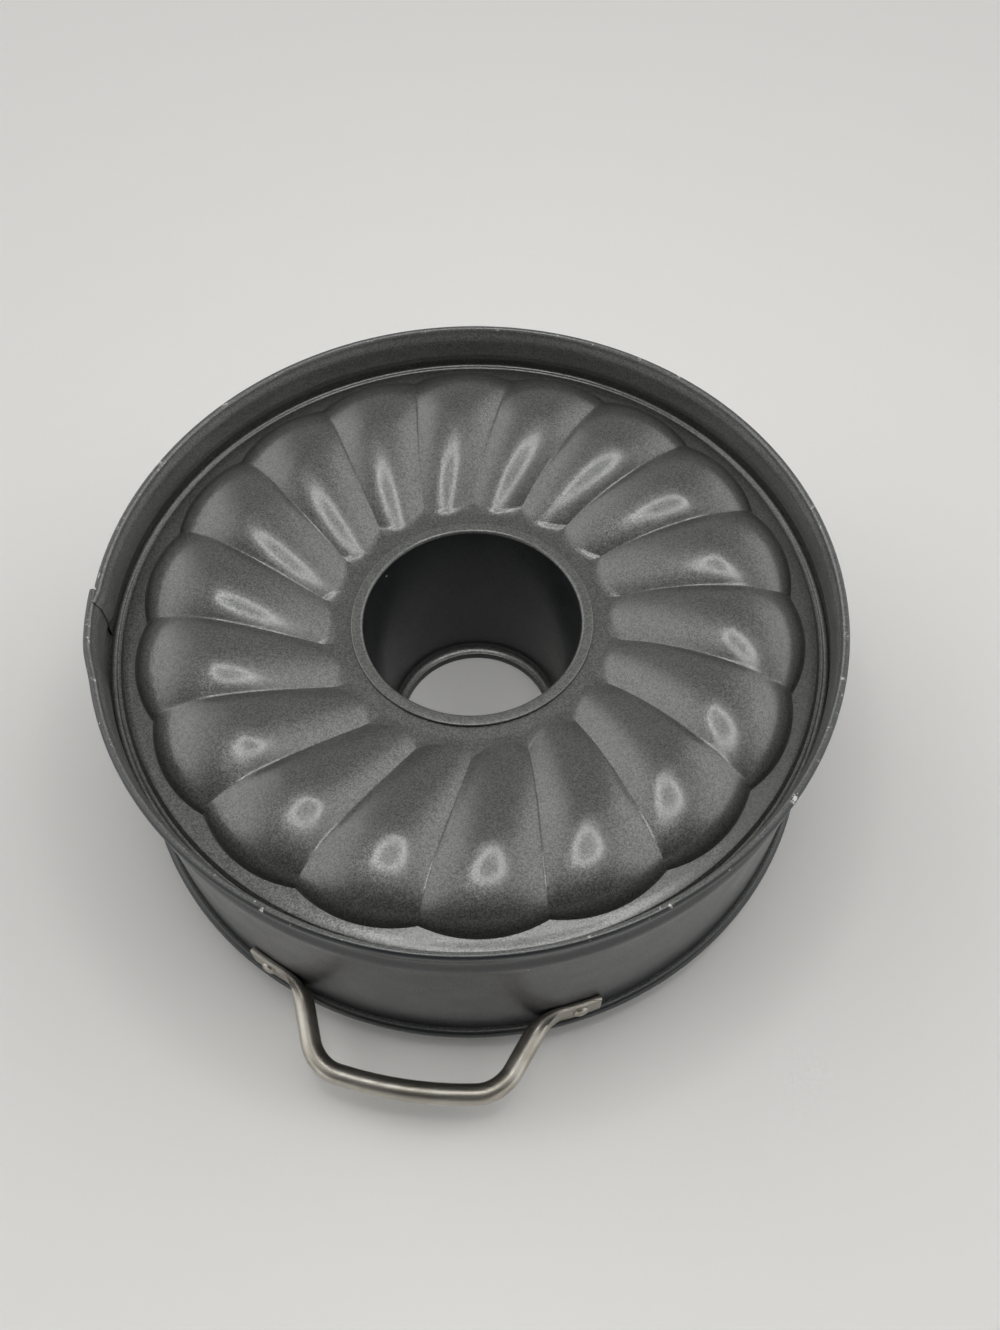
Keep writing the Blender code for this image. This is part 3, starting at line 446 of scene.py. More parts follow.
def wall_points(sizes, radius, high, low, bulge=GROOVE_DEPTH):
    """Points down a wall surface, bulging outwards at the groove, with a long slope over it."""
    middle = groove_height(sizes)
    upper = middle + GROOVE_RISE + 0.6 * MM
    lower = middle - GROOVE_FALL - 1.3 * MM
    heights = [high + (upper - high) * step / 3 for step in range(4)]
    heights += [middle + GROOVE_RISE - (GROOVE_RISE + GROOVE_FALL) * step / 24 for step in range(25)]
    heights += [lower + (low - lower) * step / 8 for step in range(9)]
    points = []
    for height in heights:
        above = smooth_step((middle + GROOVE_RISE - height) / UPPER_SLOPE)
        below = smooth_step((height - middle + GROOVE_FALL) / LOWER_SLOPE)
        points.append((radius + bulge * min(above, below), height))
    return points


def band_section(sizes):
    """Closed section of the band: base bead on its flare, wall with its groove, and mouth bead."""
    wall = sizes.wall_radius
    inner = wall - sizes.sheet
    bead = (wall + BASE_BEAD_OUTSET, TOP - sizes.base_bead)
    rim = TOP - sizes.band_height
    mouth = (wall + MOUTH_BEAD_OUTSET,
             rim + sizes.mouth_bead * math.cos(math.radians(MOUTH_FLAT_ANGLE)))
    flare = TOP - sizes.flare
    low = mouth[1] + 1.9 * sizes.mouth_bead
    points = arc(bead, sizes.base_bead, 180.0, -100.0, 20)
    points += sweep_bend(points[-1], (-2.4 * MM, 0.4 * MM), (wall, flare), (0.0, -4.0 * MM), 7)
    points += wall_points(sizes, wall, flare, low, RIDGE_HEIGHT)
    points.append((wall + 0.1 * MM, mouth[1] + 1.4 * sizes.mouth_bead))
    points += arc(mouth, sizes.mouth_bead, 118.0, MOUTH_FLAT_ANGLE - 90.0, 14)
    points += arc(mouth, sizes.mouth_bead, -90.0 - MOUTH_FLAT_ANGLE, -180.0, 6)
    points.append((inner, mouth[1] + 0.5 * sizes.mouth_bead))
    points += reversed(wall_points(sizes, inner, flare, low))
    points += sweep_bend((inner, flare), (0.0, 4.0 * MM), points[0], (0.0, 3.0 * MM), 7)
    return points


def flap_section(sizes):
    """Closed section of the outer band end over the inner one, with its beads cut away."""
    wall = sizes.wall_radius + sizes.lap_step
    inner = wall - sizes.sheet
    half = 0.5 * sizes.sheet
    head = (wall - half, TOP - sizes.flare)
    foot = (wall - half, TOP - sizes.band_height + 2.0 * sizes.mouth_bead + sizes.lap_step)
    high = head[1] - sizes.sheet
    low = foot[1] + sizes.sheet
    points = arc(head, half, 180.0, 0.0, 8)
    points += wall_points(sizes, wall, high, low)
    points += arc(foot, half, 0.0, -180.0, 8)
    points += reversed(wall_points(sizes, inner, high, low))
    return points


def azimuth_of(vert):
    """Azimuth of a vertex about the pan's axis, from 0 to 360 degrees."""
    return math.degrees(math.atan2(vert.co.y, vert.co.x)) % 360.0


def nest_tongue(shape, sizes):
    """Press the beads of the inner end narrower from the outside, to lie in those of the outer end."""
    flare = TOP - sizes.flare
    for vert in shape.verts:
        azimuth = azimuth_of(vert)
        if not FLAP_END - 0.6 < azimuth < NEST_END:
            continue
        radius = vert.co.xy.length
        opening = smooth_step((vert.co.z - flare) / (sizes.flare - sizes.base_bead))
        limit = sizes.wall_radius + (0.3 + 1.1 * opening) * MM
        in_groove = groove_height(sizes) - 4.0 * MM < vert.co.z < flare - 3.0 * MM
        if radius > limit and not in_groove:
            share = smooth_step((azimuth - FLAP_END + 0.4) / 0.6)
            radius += (limit - radius) * share
        # The end lies against the inside of the outer band
        press = NEST_PRESS * smooth_step((azimuth - FLAP_END) / (TONGUE_END - FLAP_END))
        vert.co = polar(radius + press, azimuth, vert.co.z)


class BUNDT_OT_side_band(bpy.types.Operator):
    """Make the two ends of the side band, lapped at the latch"""
    bl_idname = "bundt.side_band"
    bl_label = "Side band"

    def execute(self, context):
        sizes = context.scene.bundt_sizes
        coating = surface("band_coated_steel", context.scene.bundt_finish)
        far_shape = spun(band_section(sizes), SEAM_AZIMUTH, TONGUE_END, 223)
        nest_tongue(far_shape, sizes)
        far = piece("side_band_far", far_shape, coating)
        fit(far, "band_far", "pan")
        near_shape = spun(band_section(sizes), FLAP_END, SEAM_AZIMUTH + 360.0, 184)
        for vert in near_shape.verts:
            azimuth = azimuth_of(vert)
            if FLAP_END - 1.0 < azimuth < JOGGLE[1]:
                share = smooth_step((JOGGLE[1] - azimuth) / (JOGGLE[1] - JOGGLE[0]))
                vert.co += polar(sizes.lap_step * share, azimuth)
        flap = spun(flap_section(sizes), FLAP_START, FLAP_END, 12)
        near = piece("side_band_near", joined(near_shape, flap), coating)
        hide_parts("band_near")
        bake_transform(near)
        return {"FINISHED"}


# Fluted base
PETAL_PHASE = 3.8
CUSP = 0.1059
LOBE = 0.1089
INNER_CUSP = 0.0500
INNER_LOBE = 0.0453
PLATEAU_DROP = 4.7 * MM
PLATEAU_EDGE = 44.0 * MM
PLATE_HOLE = 37.7 * MM
SWIRL = 9.3
SWIRL_POWER = 1.6
CREASE_SHAPE = (6.1 * MM, 0.30, 1.7)
CREST_SHAPE = (10.2 * MM, 0.39, 1.38)
CREASE_ROUND = 0.97
CURL_RADIUS = 1.1 * MM
VALLEY_DEPTH = 1.6 * MM
SHORE_WIDTH = 1.2 * MM


def petal_swirl(radius):
    """Turn of a petal about the pan's axis in degrees, growing towards the tube."""
    share = (CUSP - radius) / (CUSP - INNER_LOBE)
    return SWIRL * min(max(share, 0.0), 1.0) ** SWIRL_POWER


def petal_bulge(across):
    """Rise of a petal between its creases, 0 to 1, with a small round in the crease."""
    side = min(abs(across), 1.0)
    edge = CREASE_ROUND
    if side <= edge:
        return 1.0 - side * side
    past = side - edge
    return 1.0 - edge * edge - 2.0 * edge * past + edge * past * past / (1.0 - edge)


def petal_rise(along, across):
    """Height of a petal above the annulus: along runs from its outer foot to its inner end."""
    heights = []
    for rise, peak_at, power in (CREASE_SHAPE, CREST_SHAPE):
        if along < peak_at:
            heights.append(rise * math.sqrt(max(0.0, 1.0 - (1.0 - along / peak_at) ** 2)))
        else:
            fall = ((along - peak_at) / (1.0 - peak_at)) ** power
            heights.append(rise - (rise + PLATEAU_DROP) * fall)
    crease, crest = heights
    return crease + (crest - crease) * petal_bulge(across)


def plate_section(sizes):
    """Closed section of the plate with its rolled edge, flat where the petals will rise."""
    sheet = sizes.plate_sheet
    annulus = annulus_height(sizes)
    groove_floor = sizes.wall_radius - sizes.sheet + GROOVE_DEPTH
    curl = (groove_floor - FIT_GAP - CURL_RADIUS, groove_height(sizes))
    valley = (curl[0] - 1.8 * CURL_RADIUS, annulus - VALLEY_DEPTH)
    shore = (valley[0] - SHORE_WIDTH, annulus)
    top = arc(curl, CURL_RADIUS, -40.0, 150.0, 16)
    top += sweep_bend(top[-1], (-0.8 * MM, -0.9 * MM), valley, (-0.5 * MM, 0.0), 5)
    top.append(valley)
    top += sweep_bend(valley, (-0.5 * MM, 0.0), shore, (-1.6 * MM, 0.0), 7)
    petal_foot = LOBE + 0.3 * MM
    top += [shore, (petal_foot, annulus)]
    rows = [CUSP + (INNER_CUSP - CUSP) * (step / 44) ** 1.5 for step in range(45)]
    plateau = annulus - PLATEAU_DROP
    top += [(radius, annulus) for radius in rows]
    top += [(PLATEAU_EDGE, plateau), (0.0415, plateau), (PLATE_HOLE, plateau)]
    bottom = [(PLATE_HOLE, plateau - sheet), (PLATEAU_EDGE, plateau - sheet)]
    bottom += [(radius, annulus - sheet) for radius in reversed(rows[::2])]
    bottom += [(petal_foot, annulus - sheet), (shore[0], annulus - sheet)]
    bottom.append((valley[0], valley[1] - sheet))
    bottom += arc(curl, CURL_RADIUS, -145.0, -60.0, 8)
    return top + bottom


class BUNDT_OT_fluted_base(bpy.types.Operator):
    """Press the petals into the base plate and roll its edge"""
    bl_idname = "bundt.fluted_base"
    bl_label = "Fluted base"

    def execute(self, context):
        sizes = context.scene.bundt_sizes
        columns = sizes.petals * sizes.petal_columns
        shape = spun(plate_section(sizes), PETAL_PHASE, PETAL_PHASE + 360.0, columns)
        width = 360.0 / sizes.petals
        for vert in shape.verts:
            radius = vert.co.xy.length
            petal, place = divmod((azimuth_of(vert) - PETAL_PHASE) / width + 1e-6, 1.0)
            side = 2.0 * place - 1.0
            # Columns crowd towards the creases, where the sheet bends most
            across = side * (1.5 - 0.5 * side * side)
            azimuth = PETAL_PHASE + width * (petal + 0.5 * (across + 1.0))
            height = vert.co.z
            if INNER_CUSP - 0.01 * MM < radius < CUSP + 0.01 * MM:
                along = (CUSP - radius) / (CUSP - INNER_CUSP)
                bulge = 1.0 - across * across
                outer = CUSP + (LOBE - CUSP) * bulge
                inner = INNER_CUSP + (INNER_LOBE - INNER_CUSP) * bulge
                radius = outer + (inner - outer) * along
                height += petal_rise(along, across)
            vert.co = polar(radius, azimuth + petal_swirl(radius), height)
        coating = surface("non_stick_coated_steel", context.scene.bundt_finish)
        base = piece("fluted_base_plate", shape, coating, 38.0)
        fit(base, "fluted_base", "pan")
        return {"FINISHED"}


# Centre tube
FLANGE_RADIUS = 40.2 * MM
LIP_RADIUS = 1.5 * MM
FOOT_FILLET = 3.0 * MM
FOOT_DEPTH = 2.3 * MM
CRIMP_RADIUS = 0.6 * MM


class BUNDT_OT_centre_tube(bpy.types.Operator):
    """Turn the centre tube with its flange over the base and its crimp under it"""
    bl_idname = "bundt.centre_tube"
    bl_label = "Centre tube"

    def execute(self, context):
        sizes = context.scene.bundt_sizes
        sheet = sizes.sheet
        plateau = annulus_height(sizes) - PLATEAU_DROP
        seat = plateau + FIT_GAP
        top = seat + sheet
        wide = sizes.tube_radius
        lip = LIP_RADIUS
        end = sizes.tube_foot
        fillet = FOOT_FILLET
        shoulder = (end + sheet, FOOT_DEPTH + sheet + fillet)
        narrow = shoulder[0] + fillet
        neck = wide + sheet
        crimp = plateau - sizes.plate_sheet - FIT_GAP
        points = [(FLANGE_RADIUS, seat), (FLANGE_RADIUS, top - 0.25 * MM),
                  (FLANGE_RADIUS - 0.2 * MM, top - 0.05 * MM), (FLANGE_RADIUS - 0.4 * MM, top)]
        points += arc((wide + lip, top - lip), lip, 92.0, 178.0, 8)
        points += [(wide + (narrow - wide) * step / 12, top - lip + (shoulder[1] - top + lip) * step / 12)
                   for step in range(1, 12)]
        points += arc(shoulder, fillet, 0.0, -86.0, 10)
        points += arc((end + 0.6 * MM, 2.4 * MM), 0.6 * MM, 100.0, 180.0, 5)
        points += [(end, 0.15 * MM), (end + 0.15 * MM, 0.0), (end + sheet - 0.15 * MM, 0.0)]
        points += [(end + sheet, 0.15 * MM), (end + sheet, 2.2 * MM)]
        points += arc(shoulder, fillet + sheet, -88.0, 0.0, 10)
        rise = crimp - 1.9 * MM
        points += [(narrow + sheet + (wide - narrow) * step / 8,
                    shoulder[1] + (rise - shoulder[1]) * step / 8) for step in range(1, 9)]
        points += arc((neck + 1.4 * MM, crimp - CRIMP_RADIUS), CRIMP_RADIUS, -90.0, 90.0, 6)
        points += [(neck, crimp), (neck, seat - 0.2 * MM), (neck + 0.2 * MM, seat)]
        # The tube's upright wall takes the darker coat as painted shade
        coating = surface("painted_shade_coated_steel", context.scene.bundt_finish)
        tube = piece("flanged_centre_tube", spun(points, 0.0, 360.0, 216), coating)
        fit(tube, "centre_tube", "pan")
        return {"FINISHED"}


# Handles
HANDLE_AZIMUTH = 263.1
HANDLE_RIVET_ANGLE = 24.9
HANDLE_RISE = 8.8 * MM
HANDLE_REACH = 138.0 * MM
HANDLE_BEND = 7.5 * MM
BAR_HALF = 28.6 * MM
FOOT_HALF = 38.6 * MM
TAB_REACH = 6.8 * MM
TAB_LEAD = 5.4 * MM
HALF_TAB = (0.85 * MM, 5.1 * MM)


def handle_height(sizes):
    """Height of the handles' centre line."""
    return TOP - sizes.band_height + HANDLE_RISE


def on_circle(radius, angle):
    """Point on a circle about the pan's axis, at an angle from the middle of the handle."""
    return Vector((radius * math.sin(math.radians(angle)), radius * math.cos(math.radians(angle))))


def along_circle(angle):
    """Direction along a circle about the pan's axis, towards the middle of the handle."""
    return Vector((-math.cos(math.radians(angle)), math.sin(math.radians(angle))))


def handle_path(sizes):
    """Centre line and half sizes of the handle from its first tab to its second."""
    rod = 0.5 * sizes.handle_rod
    radius = sizes.wall_radius + FIT_GAP + HALF_TAB[0]
    tab_end = HANDLE_RIVET_ANGLE + math.degrees(TAB_REACH / radius)
    tab_start = HANDLE_RIVET_ANGLE - math.degrees(TAB_LEAD / radius)
    stations = []
    for step in range(9):
        spot = on_circle(radius, tab_end + (tab_start - tab_end) * step / 8)
        stations.append((spot.x, spot.y, *HALF_TAB))
    last = on_circle(radius, tab_start)
    foot = on_circle(radius, math.degrees(math.asin(FOOT_HALF / radius)))
    corner_angle = math.degrees(math.asin(BAR_HALF / HANDLE_REACH))
    corner = on_circle(HANDLE_REACH, corner_angle)
    arm = (corner - foot).normalized()
    knee = foot + arm * HANDLE_BEND
    slope = 1.05 * (knee - last).length
    for step in range(1, 20):
        share = step / 20
        spot = hermite(last, along_circle(tab_start) * slope, knee, arm * slope, share)
        grow = smooth_step((share - 0.05) / 0.85)
        stations.append((spot.x, spot.y, HALF_TAB[0] + (rod - HALF_TAB[0]) * grow,
                         HALF_TAB[1] + (rod - HALF_TAB[1]) * grow))
    stations.append((knee.x, knee.y, rod, rod))
    bar_angle = corner_angle - math.degrees(HANDLE_BEND / HANDLE_REACH)
    start = corner - arm * HANDLE_BEND
    end = on_circle(HANDLE_REACH, bar_angle)
    slope = 1.05 * (end - start).length
    for step in range(15):
        spot = hermite(start, arm * slope, end, along_circle(bar_angle) * slope, step / 14)
        stations.append((spot.x, spot.y, rod, rod))
    for step in range(1, 6):
        spot = on_circle(HANDLE_REACH, bar_angle * (1.0 - step / 5.5))
        stations.append((spot.x, spot.y, rod, rod))
    return stations + [(-u, v, thick, tall) for u, v, thick, tall in reversed(stations)]


def swept_handle(sizes, azimuth):
    """Rings along the handle's centre line, bridged one to the next and capped at the tabs."""
    shape = bmesh.new()
    stations = handle_path(sizes)
    radial = polar(1.0, azimuth)
    tangent = polar(1.0, azimuth - 90.0)
    up = Vector((0.0, 0.0, 1.0))
    previous = None
    for index, (across, outward, thick, tall) in enumerate(stations):
        before = stations[max(index - 1, 0)]
        after = stations[min(index + 1, len(stations) - 1)]
        along = (tangent * (after[0] - before[0]) + radial * (after[1] - before[1])).normalized()
        normal = along.cross(up)
        place = Matrix((normal, up, along)).transposed().to_4x4()
        place.translation = tangent * across + radial * outward + up * handle_height(sizes)
        ring = bmesh.ops.create_circle(shape, segments=32, radius=1.0, cap_ends=False)["verts"]
        flatness = smooth_step((tall - thick) / (HALF_TAB[1] - HALF_TAB[0]))
        # A tab has nearly square corners, and the rod is round
        for vert in ring:
            reach = 1.0 + (1.0 / max(abs(vert.co.x), abs(vert.co.y)) - 1.0) * 0.92 * flatness
            vert.co = Vector((vert.co.x * thick * reach, vert.co.y * tall * reach, 0.0))
        bmesh.ops.transform(shape, matrix=place, verts=ring)
        members = set(ring)
        edges = [edge for edge in {e for v in ring for e in v.link_edges}
                 if edge.verts[0] in members and edge.verts[1] in members]
        if previous is None:
            bmesh.ops.contextual_create(shape, geom=edges)
        else:
            bmesh.ops.bridge_loops(shape, edges=previous + edges)
        previous = edges
    bmesh.ops.contextual_create(shape, geom=previous)
    bmesh.ops.recalc_face_normals(shape, faces=shape.faces)
    return shape


class BUNDT_OT_handles(bpy.types.Operator):
    """Bend the two stainless handles from rod, flattened to tabs at their ends"""
    bl_idname = "bundt.handles"
    bl_label = "Handles"

    def execute(self, context):
        sizes = context.scene.bundt_sizes
        steel = surface("brushed_stainless_steel", context.scene.bundt_finish)
        for side, azimuth, body in (("near", HANDLE_AZIMUTH, "band_end"),
                                    ("far", HANDLE_AZIMUTH - 180.0, "pan")):
            handle = piece("bar_handle_" + side, swept_handle(sizes, azimuth), steel)
            fit(handle, "handle_" + side, body)
        return {"FINISHED"}


# Rivets
PIVOT_AZIMUTH = 166.5
KEEPER_AZIMUTH = 187.5
LATCH_RISE = 38.0 * MM
BRACKET_RIVET_RISE = 11.2 * MM
BRACKET_STAND_OFF = 1.3 * MM
SHANK = 1.7 * MM
HEAD = 2.6 * MM
HEAD_RISE = 1.35 * MM
INNER_HEAD = 3.0 * MM


def latch_height(sizes):
    """Height of the middle of the latch."""
    return TOP - sizes.band_height + LATCH_RISE


def turned(stations, centre, axis, steps=40):
    """A round solid about an axis, from (distance along it, radius) stations, closed at both ends."""
    shape = bmesh.new()
    stations = [(stations[0][0], 0.0), *stations, (stations[-1][0], 0.0)]
    corners = [shape.verts.new((radius, 0.0, distance)) for distance, radius in stations]
    line = [shape.edges.new(pair) for pair in zip(corners, corners[1:])]
    bmesh.ops.spin(shape, geom=corners + line, cent=(0, 0, 0), axis=(0, 0, 1),
                   angle=math.radians(360.0), steps=steps, use_merge=True)
    bmesh.ops.remove_doubles(shape, verts=shape.verts, dist=1e-6)
    bmesh.ops.recalc_face_normals(shape, faces=shape.faces)
    place = Vector((0.0, 0.0, 1.0)).rotation_difference(Vector(axis)).to_matrix().to_4x4()
    place.translation = centre
    bmesh.ops.transform(shape, matrix=place, verts=shape.verts)
    return shape


def rivet_stations(inside, outside):
    """Rivet through the band: low flat head inside, shank, and domed head outside."""
    stations = [(inside - 0.9 * MM, INNER_HEAD - 0.8 * MM), (inside - 0.75 * MM, INNER_HEAD - 0.3 * MM),
                (inside - 0.4 * MM, INNER_HEAD), (inside - 0.05 * MM, INNER_HEAD),
                (inside - 0.05 * MM, SHANK), (outside, SHANK), (outside, HEAD)]
    for step in range(1, 8):
        angle = math.radians(11.0 * step)
        stations.append((outside + HEAD_RISE * math.sin(angle), HEAD * math.cos(angle)))
    return stations


def pin_stations(half):
    """Pin with a rounded head at each end of its grip."""
    return [(side * (half + rise * MM), radius * MM)
            for side, rise, radius in ((-1, 1.1, 1.3), (-1, 0.95, 1.9), (-1, 0.6, 2.2), (-1, 0.3, 2.2),
                                       (-1, 0.3, 1.4), (1, 0.3, 1.4), (1, 0.3, 2.2), (1, 0.6, 2.2),
                                       (1, 0.95, 1.9), (1, 1.1, 1.3))]


class BUNDT_OT_rivets(bpy.types.Operator):
    """Set the rivets of the handles and of the latch brackets"""
    bl_idname = "bundt.rivets"
    bl_label = "Rivets"

    def execute(self, context):
        sizes = context.scene.bundt_sizes
        steel = surface("brushed_stainless_steel", context.scene.bundt_finish)
        inner = sizes.wall_radius - sizes.sheet
        tab_face = sizes.wall_radius + FIT_GAP + 2.0 * HALF_TAB[0]
        bracket_face = sizes.wall_radius + BRACKET_STAND_OFF
        low = handle_height(sizes)
        middle = latch_height(sizes)
        rivets = []
        for side, azimuth, body in (("near", HANDLE_AZIMUTH, "band_end"),
                                    ("far", HANDLE_AZIMUTH - 180.0, "pan")):
            for label, turn in (("a", -HANDLE_RIVET_ANGLE), ("b", HANDLE_RIVET_ANGLE)):
                node = "handle_rivet_" + side + "_" + label
                rivets.append((node, azimuth + turn, low, tab_face, 0.0, body))
        for part, azimuth, step, body in (("latch", PIVOT_AZIMUTH, 0.0, "pan"),
                                          ("keeper", KEEPER_AZIMUTH, sizes.lap_step, "band_end")):
            for label, rise in (("upper", BRACKET_RIVET_RISE), ("lower", -BRACKET_RIVET_RISE)):
                node = part + "_bracket_rivet_" + label
                rivets.append((node, azimuth, middle + rise, bracket_face + step, step, body))
        for node, azimuth, height, face, step, body in rivets:
            shape = turned(rivet_stations(inner + step, face), (0.0, 0.0, height), polar(1.0, azimuth))
            fit(piece("domed_" + node, shape, steel, 50.0), node, body)
        return {"FINISHED"}


# Latch
PIN_HEAD = 1.1 * MM
SHEET_EDGE = 0.22 * MM


def centre_of(node):
    """Middle of a CAD node's box, and half of its height."""
    low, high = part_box(node)
    return 0.5 * (low + high), 0.5 * (high.z - low.z)


def softened(node, width):
    """Copy of a pressed part from its solid, with flat faces joined and its sheet edges rounded."""
    shape = bmesh.new()
    shape.from_mesh(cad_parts[node].data)
    bmesh.ops.remove_doubles(shape, verts=shape.verts, dist=1e-5)
    bmesh.ops.dissolve_limit(shape, angle_limit=math.radians(0.5), verts=shape.verts, edges=shape.edges)
    limit = math.radians(50.0)
    sharp = [edge for edge in shape.edges if edge.is_manifold and edge.calc_face_angle() > limit]
    bmesh.ops.bevel(shape, geom=sharp, offset=width, offset_type="OFFSET", segments=2, profile=0.5,
                    affect="EDGES", clamp_overlap=True, material=-1)
    return shape


class BUNDT_OT_latch(bpy.types.Operator):
    """Make the latch: two brackets, the lever with its pins, and the link"""
    bl_idname = "bundt.latch"
    bl_label = "Latch"

    def execute(self, context):
        plated = surface("zinc_plated_steel", context.scene.bundt_finish)
        for node, body in (("latch_bracket", "pan"), ("keeper_bracket", "band_end"),
                           ("latch_lever", "lever"), ("latch_link", "link")):
            shape = softened(node, SHEET_EDGE)
            fit(piece("pressed_" + node, shape, plated, 38.0), node, body)
        for node, body in (("latch_link_pin", "lever"), ("keeper_pin", "band_end")):
            centre, half = centre_of(node)
            shape = turned(pin_stations(half - PIN_HEAD), centre, (0.0, 0.0, 1.0), 32)
            fit(piece("headed_" + node, shape, plated, 50.0), node, body)
        for node, side in (("latch_pivot_upper", 1.0), ("latch_pivot_lower", -1.0)):
            centre, half = centre_of(node)
            shape = turned(pin_stations(half - PIN_HEAD), centre, (0.0, 0.0, side), 32)
            fit(piece("headed_" + node, shape, plated, 50.0), node, "pan")
        return {"FINISHED"}


# Studio
TABLE_HALF = 20.0
LAMP_INNER = 0.11
LAMP_OUTER = 0.16
LAMP_HEIGHT = 0.62
LAMP_THICKNESS = 0.005
LAMP_SQUEEZE = 0.75
LAMP_OFFSET = (0.03, -0.03, 0.0)
CAMERA_PITCH = 55.54
CAMERA_ROLL = 0.90
CAMERA_OVER_TOP = (0.0144, -0.2118, 0.3000)
SENSOR_WIDTH = 36.0
PHOTO_HEIGHT = 1330.0
FOCAL_PIXELS = 1155.0
SHIFT_PIXELS = (-16.0, -65.0)


def tent_world(settings):
    """Light tent: bright side walls, a dimmer back and top, and a dark opening over the near side."""
    world = bpy.data.worlds.new("light_tent")
    world.use_nodes = True
    tree = world.node_tree
    background = tree.nodes["Background"]
    way = add_node(tree, "ShaderNodeTexCoord").outputs["Generated"]
    axes = add_node(tree, "ShaderNodeSeparateXYZ", None, None, {"Vector": way})
    front = add_node(tree, "ShaderNodeMapRange", {"interpolation_type": "SMOOTHSTEP"},
                     {"From Min": -0.50, "From Max": 0.0, "To Min": 0.06}, {"Value": axes.outputs["Y"]})
    # Below the opening the cloth of the tent goes on
    cloth = add_node(tree, "ShaderNodeMapRange", {"interpolation_type": "SMOOTHSTEP"},
                     {"From Min": 0.25, "From Max": 0.36, "To Min": 1.0, "To Max": 0.0},
                     {"Value": axes.outputs["Z"]})
    open_front = add_node(tree, "ShaderNodeMath", {"operation": "MAXIMUM"}, None,
                          {0: front.outputs["Result"], 1: cloth.outputs["Result"]})
    aside = add_node(tree, "ShaderNodeMath", {"operation": "ABSOLUTE"}, None, {0: axes.outputs["X"]})
    sides = add_node(tree, "ShaderNodeMapRange", {"interpolation_type": "SMOOTHSTEP"},
                     {"From Min": 0.30, "From Max": 0.65, "To Min": 0.40, "To Max": 1.55},
                     {"Value": aside.outputs["Value"]})
    shade = add_node(tree, "ShaderNodeMath", {"operation": "MULTIPLY"}, None,
                     {0: open_front.outputs["Value"], 1: sides.outputs["Result"]})
    tree.links.new(shade.outputs["Value"], background.inputs["Color"])
    background.inputs["Strength"].default_value = settings.tent_strength
    return world


class BUNDT_OT_studio(bpy.types.Operator):
    """Set the table, the light tent, the ring lamp and the camera"""
    bl_idname = "bundt.studio"
    bl_label = "Studio"

    def execute(self, context):
        scene = context.scene
        settings = scene.bundt_studio
        scene.view_settings.view_transform = "Standard"
        item, _, shader = new_material("matt_white_table")
        shader.inputs["Base Color"].default_value = settings.table
        shader.inputs["Roughness"].default_value = 0.75
        shape = bmesh.new()
        bmesh.ops.create_grid(shape, x_segments=1, y_segments=1, size=TABLE_HALF)
        bmesh.ops.translate(shape, verts=shape.verts, vec=(0.0, 0.0, TABLE_HEIGHT))
        piece("table", shape, item)
        glow, _, shader = new_material("ring_lamp_tube")
        shader.inputs["Base Color"].default_value = grey(0.0)
        shader.inputs["Emission Color"].default_value = grey(1.0)
        shader.inputs["Emission Strength"].default_value = settings.ring_strength
        over = LAMP_HEIGHT + LAMP_THICKNESS
        section = [(LAMP_INNER, LAMP_HEIGHT), (LAMP_OUTER, LAMP_HEIGHT),
                   (LAMP_OUTER, over), (LAMP_INNER, over)]
        lamp = spun(section, 0.0, 360.0, 64)
        bmesh.ops.scale(lamp, verts=lamp.verts, vec=(1.0, LAMP_SQUEEZE, 1.0))
        bmesh.ops.translate(lamp, verts=lamp.verts, vec=LAMP_OFFSET)
        piece("ring_lamp", lamp, glow)
        scene.world = tent_world(settings)
        set_camera(scene)
        return {"FINISHED"}


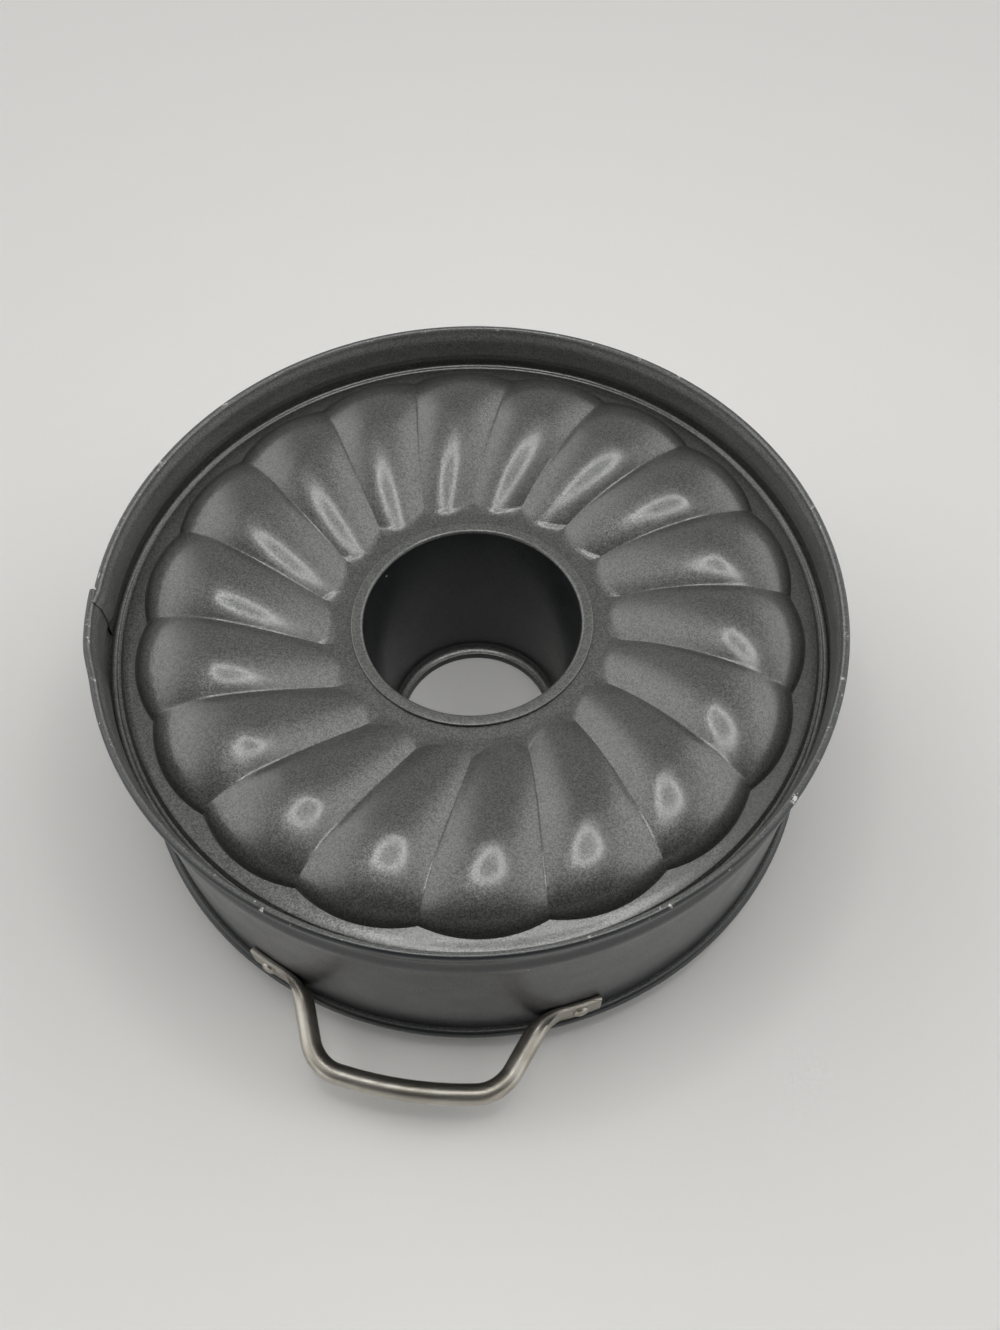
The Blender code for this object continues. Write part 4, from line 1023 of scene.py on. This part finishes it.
def set_camera(scene):
    """Camera at the photograph's viewing angle, from above the near side."""
    pitch = math.radians(CAMERA_PITCH)
    roll = math.radians(CAMERA_ROLL)
    forward = Vector((0.0, math.cos(pitch), -math.sin(pitch)))
    right = Vector((1.0, 0.0, 0.0))
    down = forward.cross(right)
    rolled_right = math.cos(roll) * right - math.sin(roll) * down
    rolled_down = math.sin(roll) * right + math.cos(roll) * down
    lens = bpy.data.cameras.new("photo_view")
    camera = bpy.data.objects.new("photo_view", lens)
    scene.collection.objects.link(camera)
    turn = Matrix((rolled_right, -rolled_down, -forward)).transposed().to_4x4()
    turn.translation = Vector(CAMERA_OVER_TOP) + Vector((0.0, 0.0, TOP))
    camera.matrix_world = turn
    lens.sensor_fit = "AUTO"
    lens.sensor_width = SENSOR_WIDTH
    lens.lens = SENSOR_WIDTH * FOCAL_PIXELS / PHOTO_HEIGHT
    lens.shift_x = SHIFT_PIXELS[0] / PHOTO_HEIGHT
    lens.shift_y = SHIFT_PIXELS[1] / PHOTO_HEIGHT
    lens.clip_start = 0.01
    scene.camera = camera


# Panel and registration
STEPS = ("side_band", "fluted_base", "centre_tube", "handles", "rivets", "latch", "studio")


class BUNDT_PT_panel(bpy.types.Panel):
    """Sizes, finishes and building steps of the pan"""
    bl_idname = "BUNDT_PT_panel"
    bl_label = "Springform Bundt Pan"
    bl_space_type = "VIEW_3D"
    bl_region_type = "UI"
    bl_category = "Pan"

    def draw(self, context):
        layout = self.layout
        for group in (context.scene.bundt_sizes, context.scene.bundt_finish, context.scene.bundt_studio):
            box = layout.box()
            for key in group.__annotations__:
                box.prop(group, key)
        for step in STEPS:
            layout.operator("bundt." + step)


CLASSES = (PanSizes, PanFinish, PanStudio, BUNDT_OT_side_band, BUNDT_OT_fluted_base,
           BUNDT_OT_centre_tube, BUNDT_OT_handles, BUNDT_OT_rivets, BUNDT_OT_latch, BUNDT_OT_studio,
           BUNDT_PT_panel)


def register():
    for item in CLASSES:
        bpy.utils.register_class(item)
    bpy.types.Scene.bundt_sizes = PointerProperty(type=PanSizes)
    bpy.types.Scene.bundt_finish = PointerProperty(type=PanFinish)
    bpy.types.Scene.bundt_studio = PointerProperty(type=PanStudio)


def unregister():
    del bpy.types.Scene.bundt_studio
    del bpy.types.Scene.bundt_finish
    del bpy.types.Scene.bundt_sizes
    for item in reversed(CLASSES):
        bpy.utils.unregister_class(item)


def main():
    register()
    for step in STEPS:
        getattr(bpy.ops.bundt, step)()


if __name__ == "__main__":
    main()
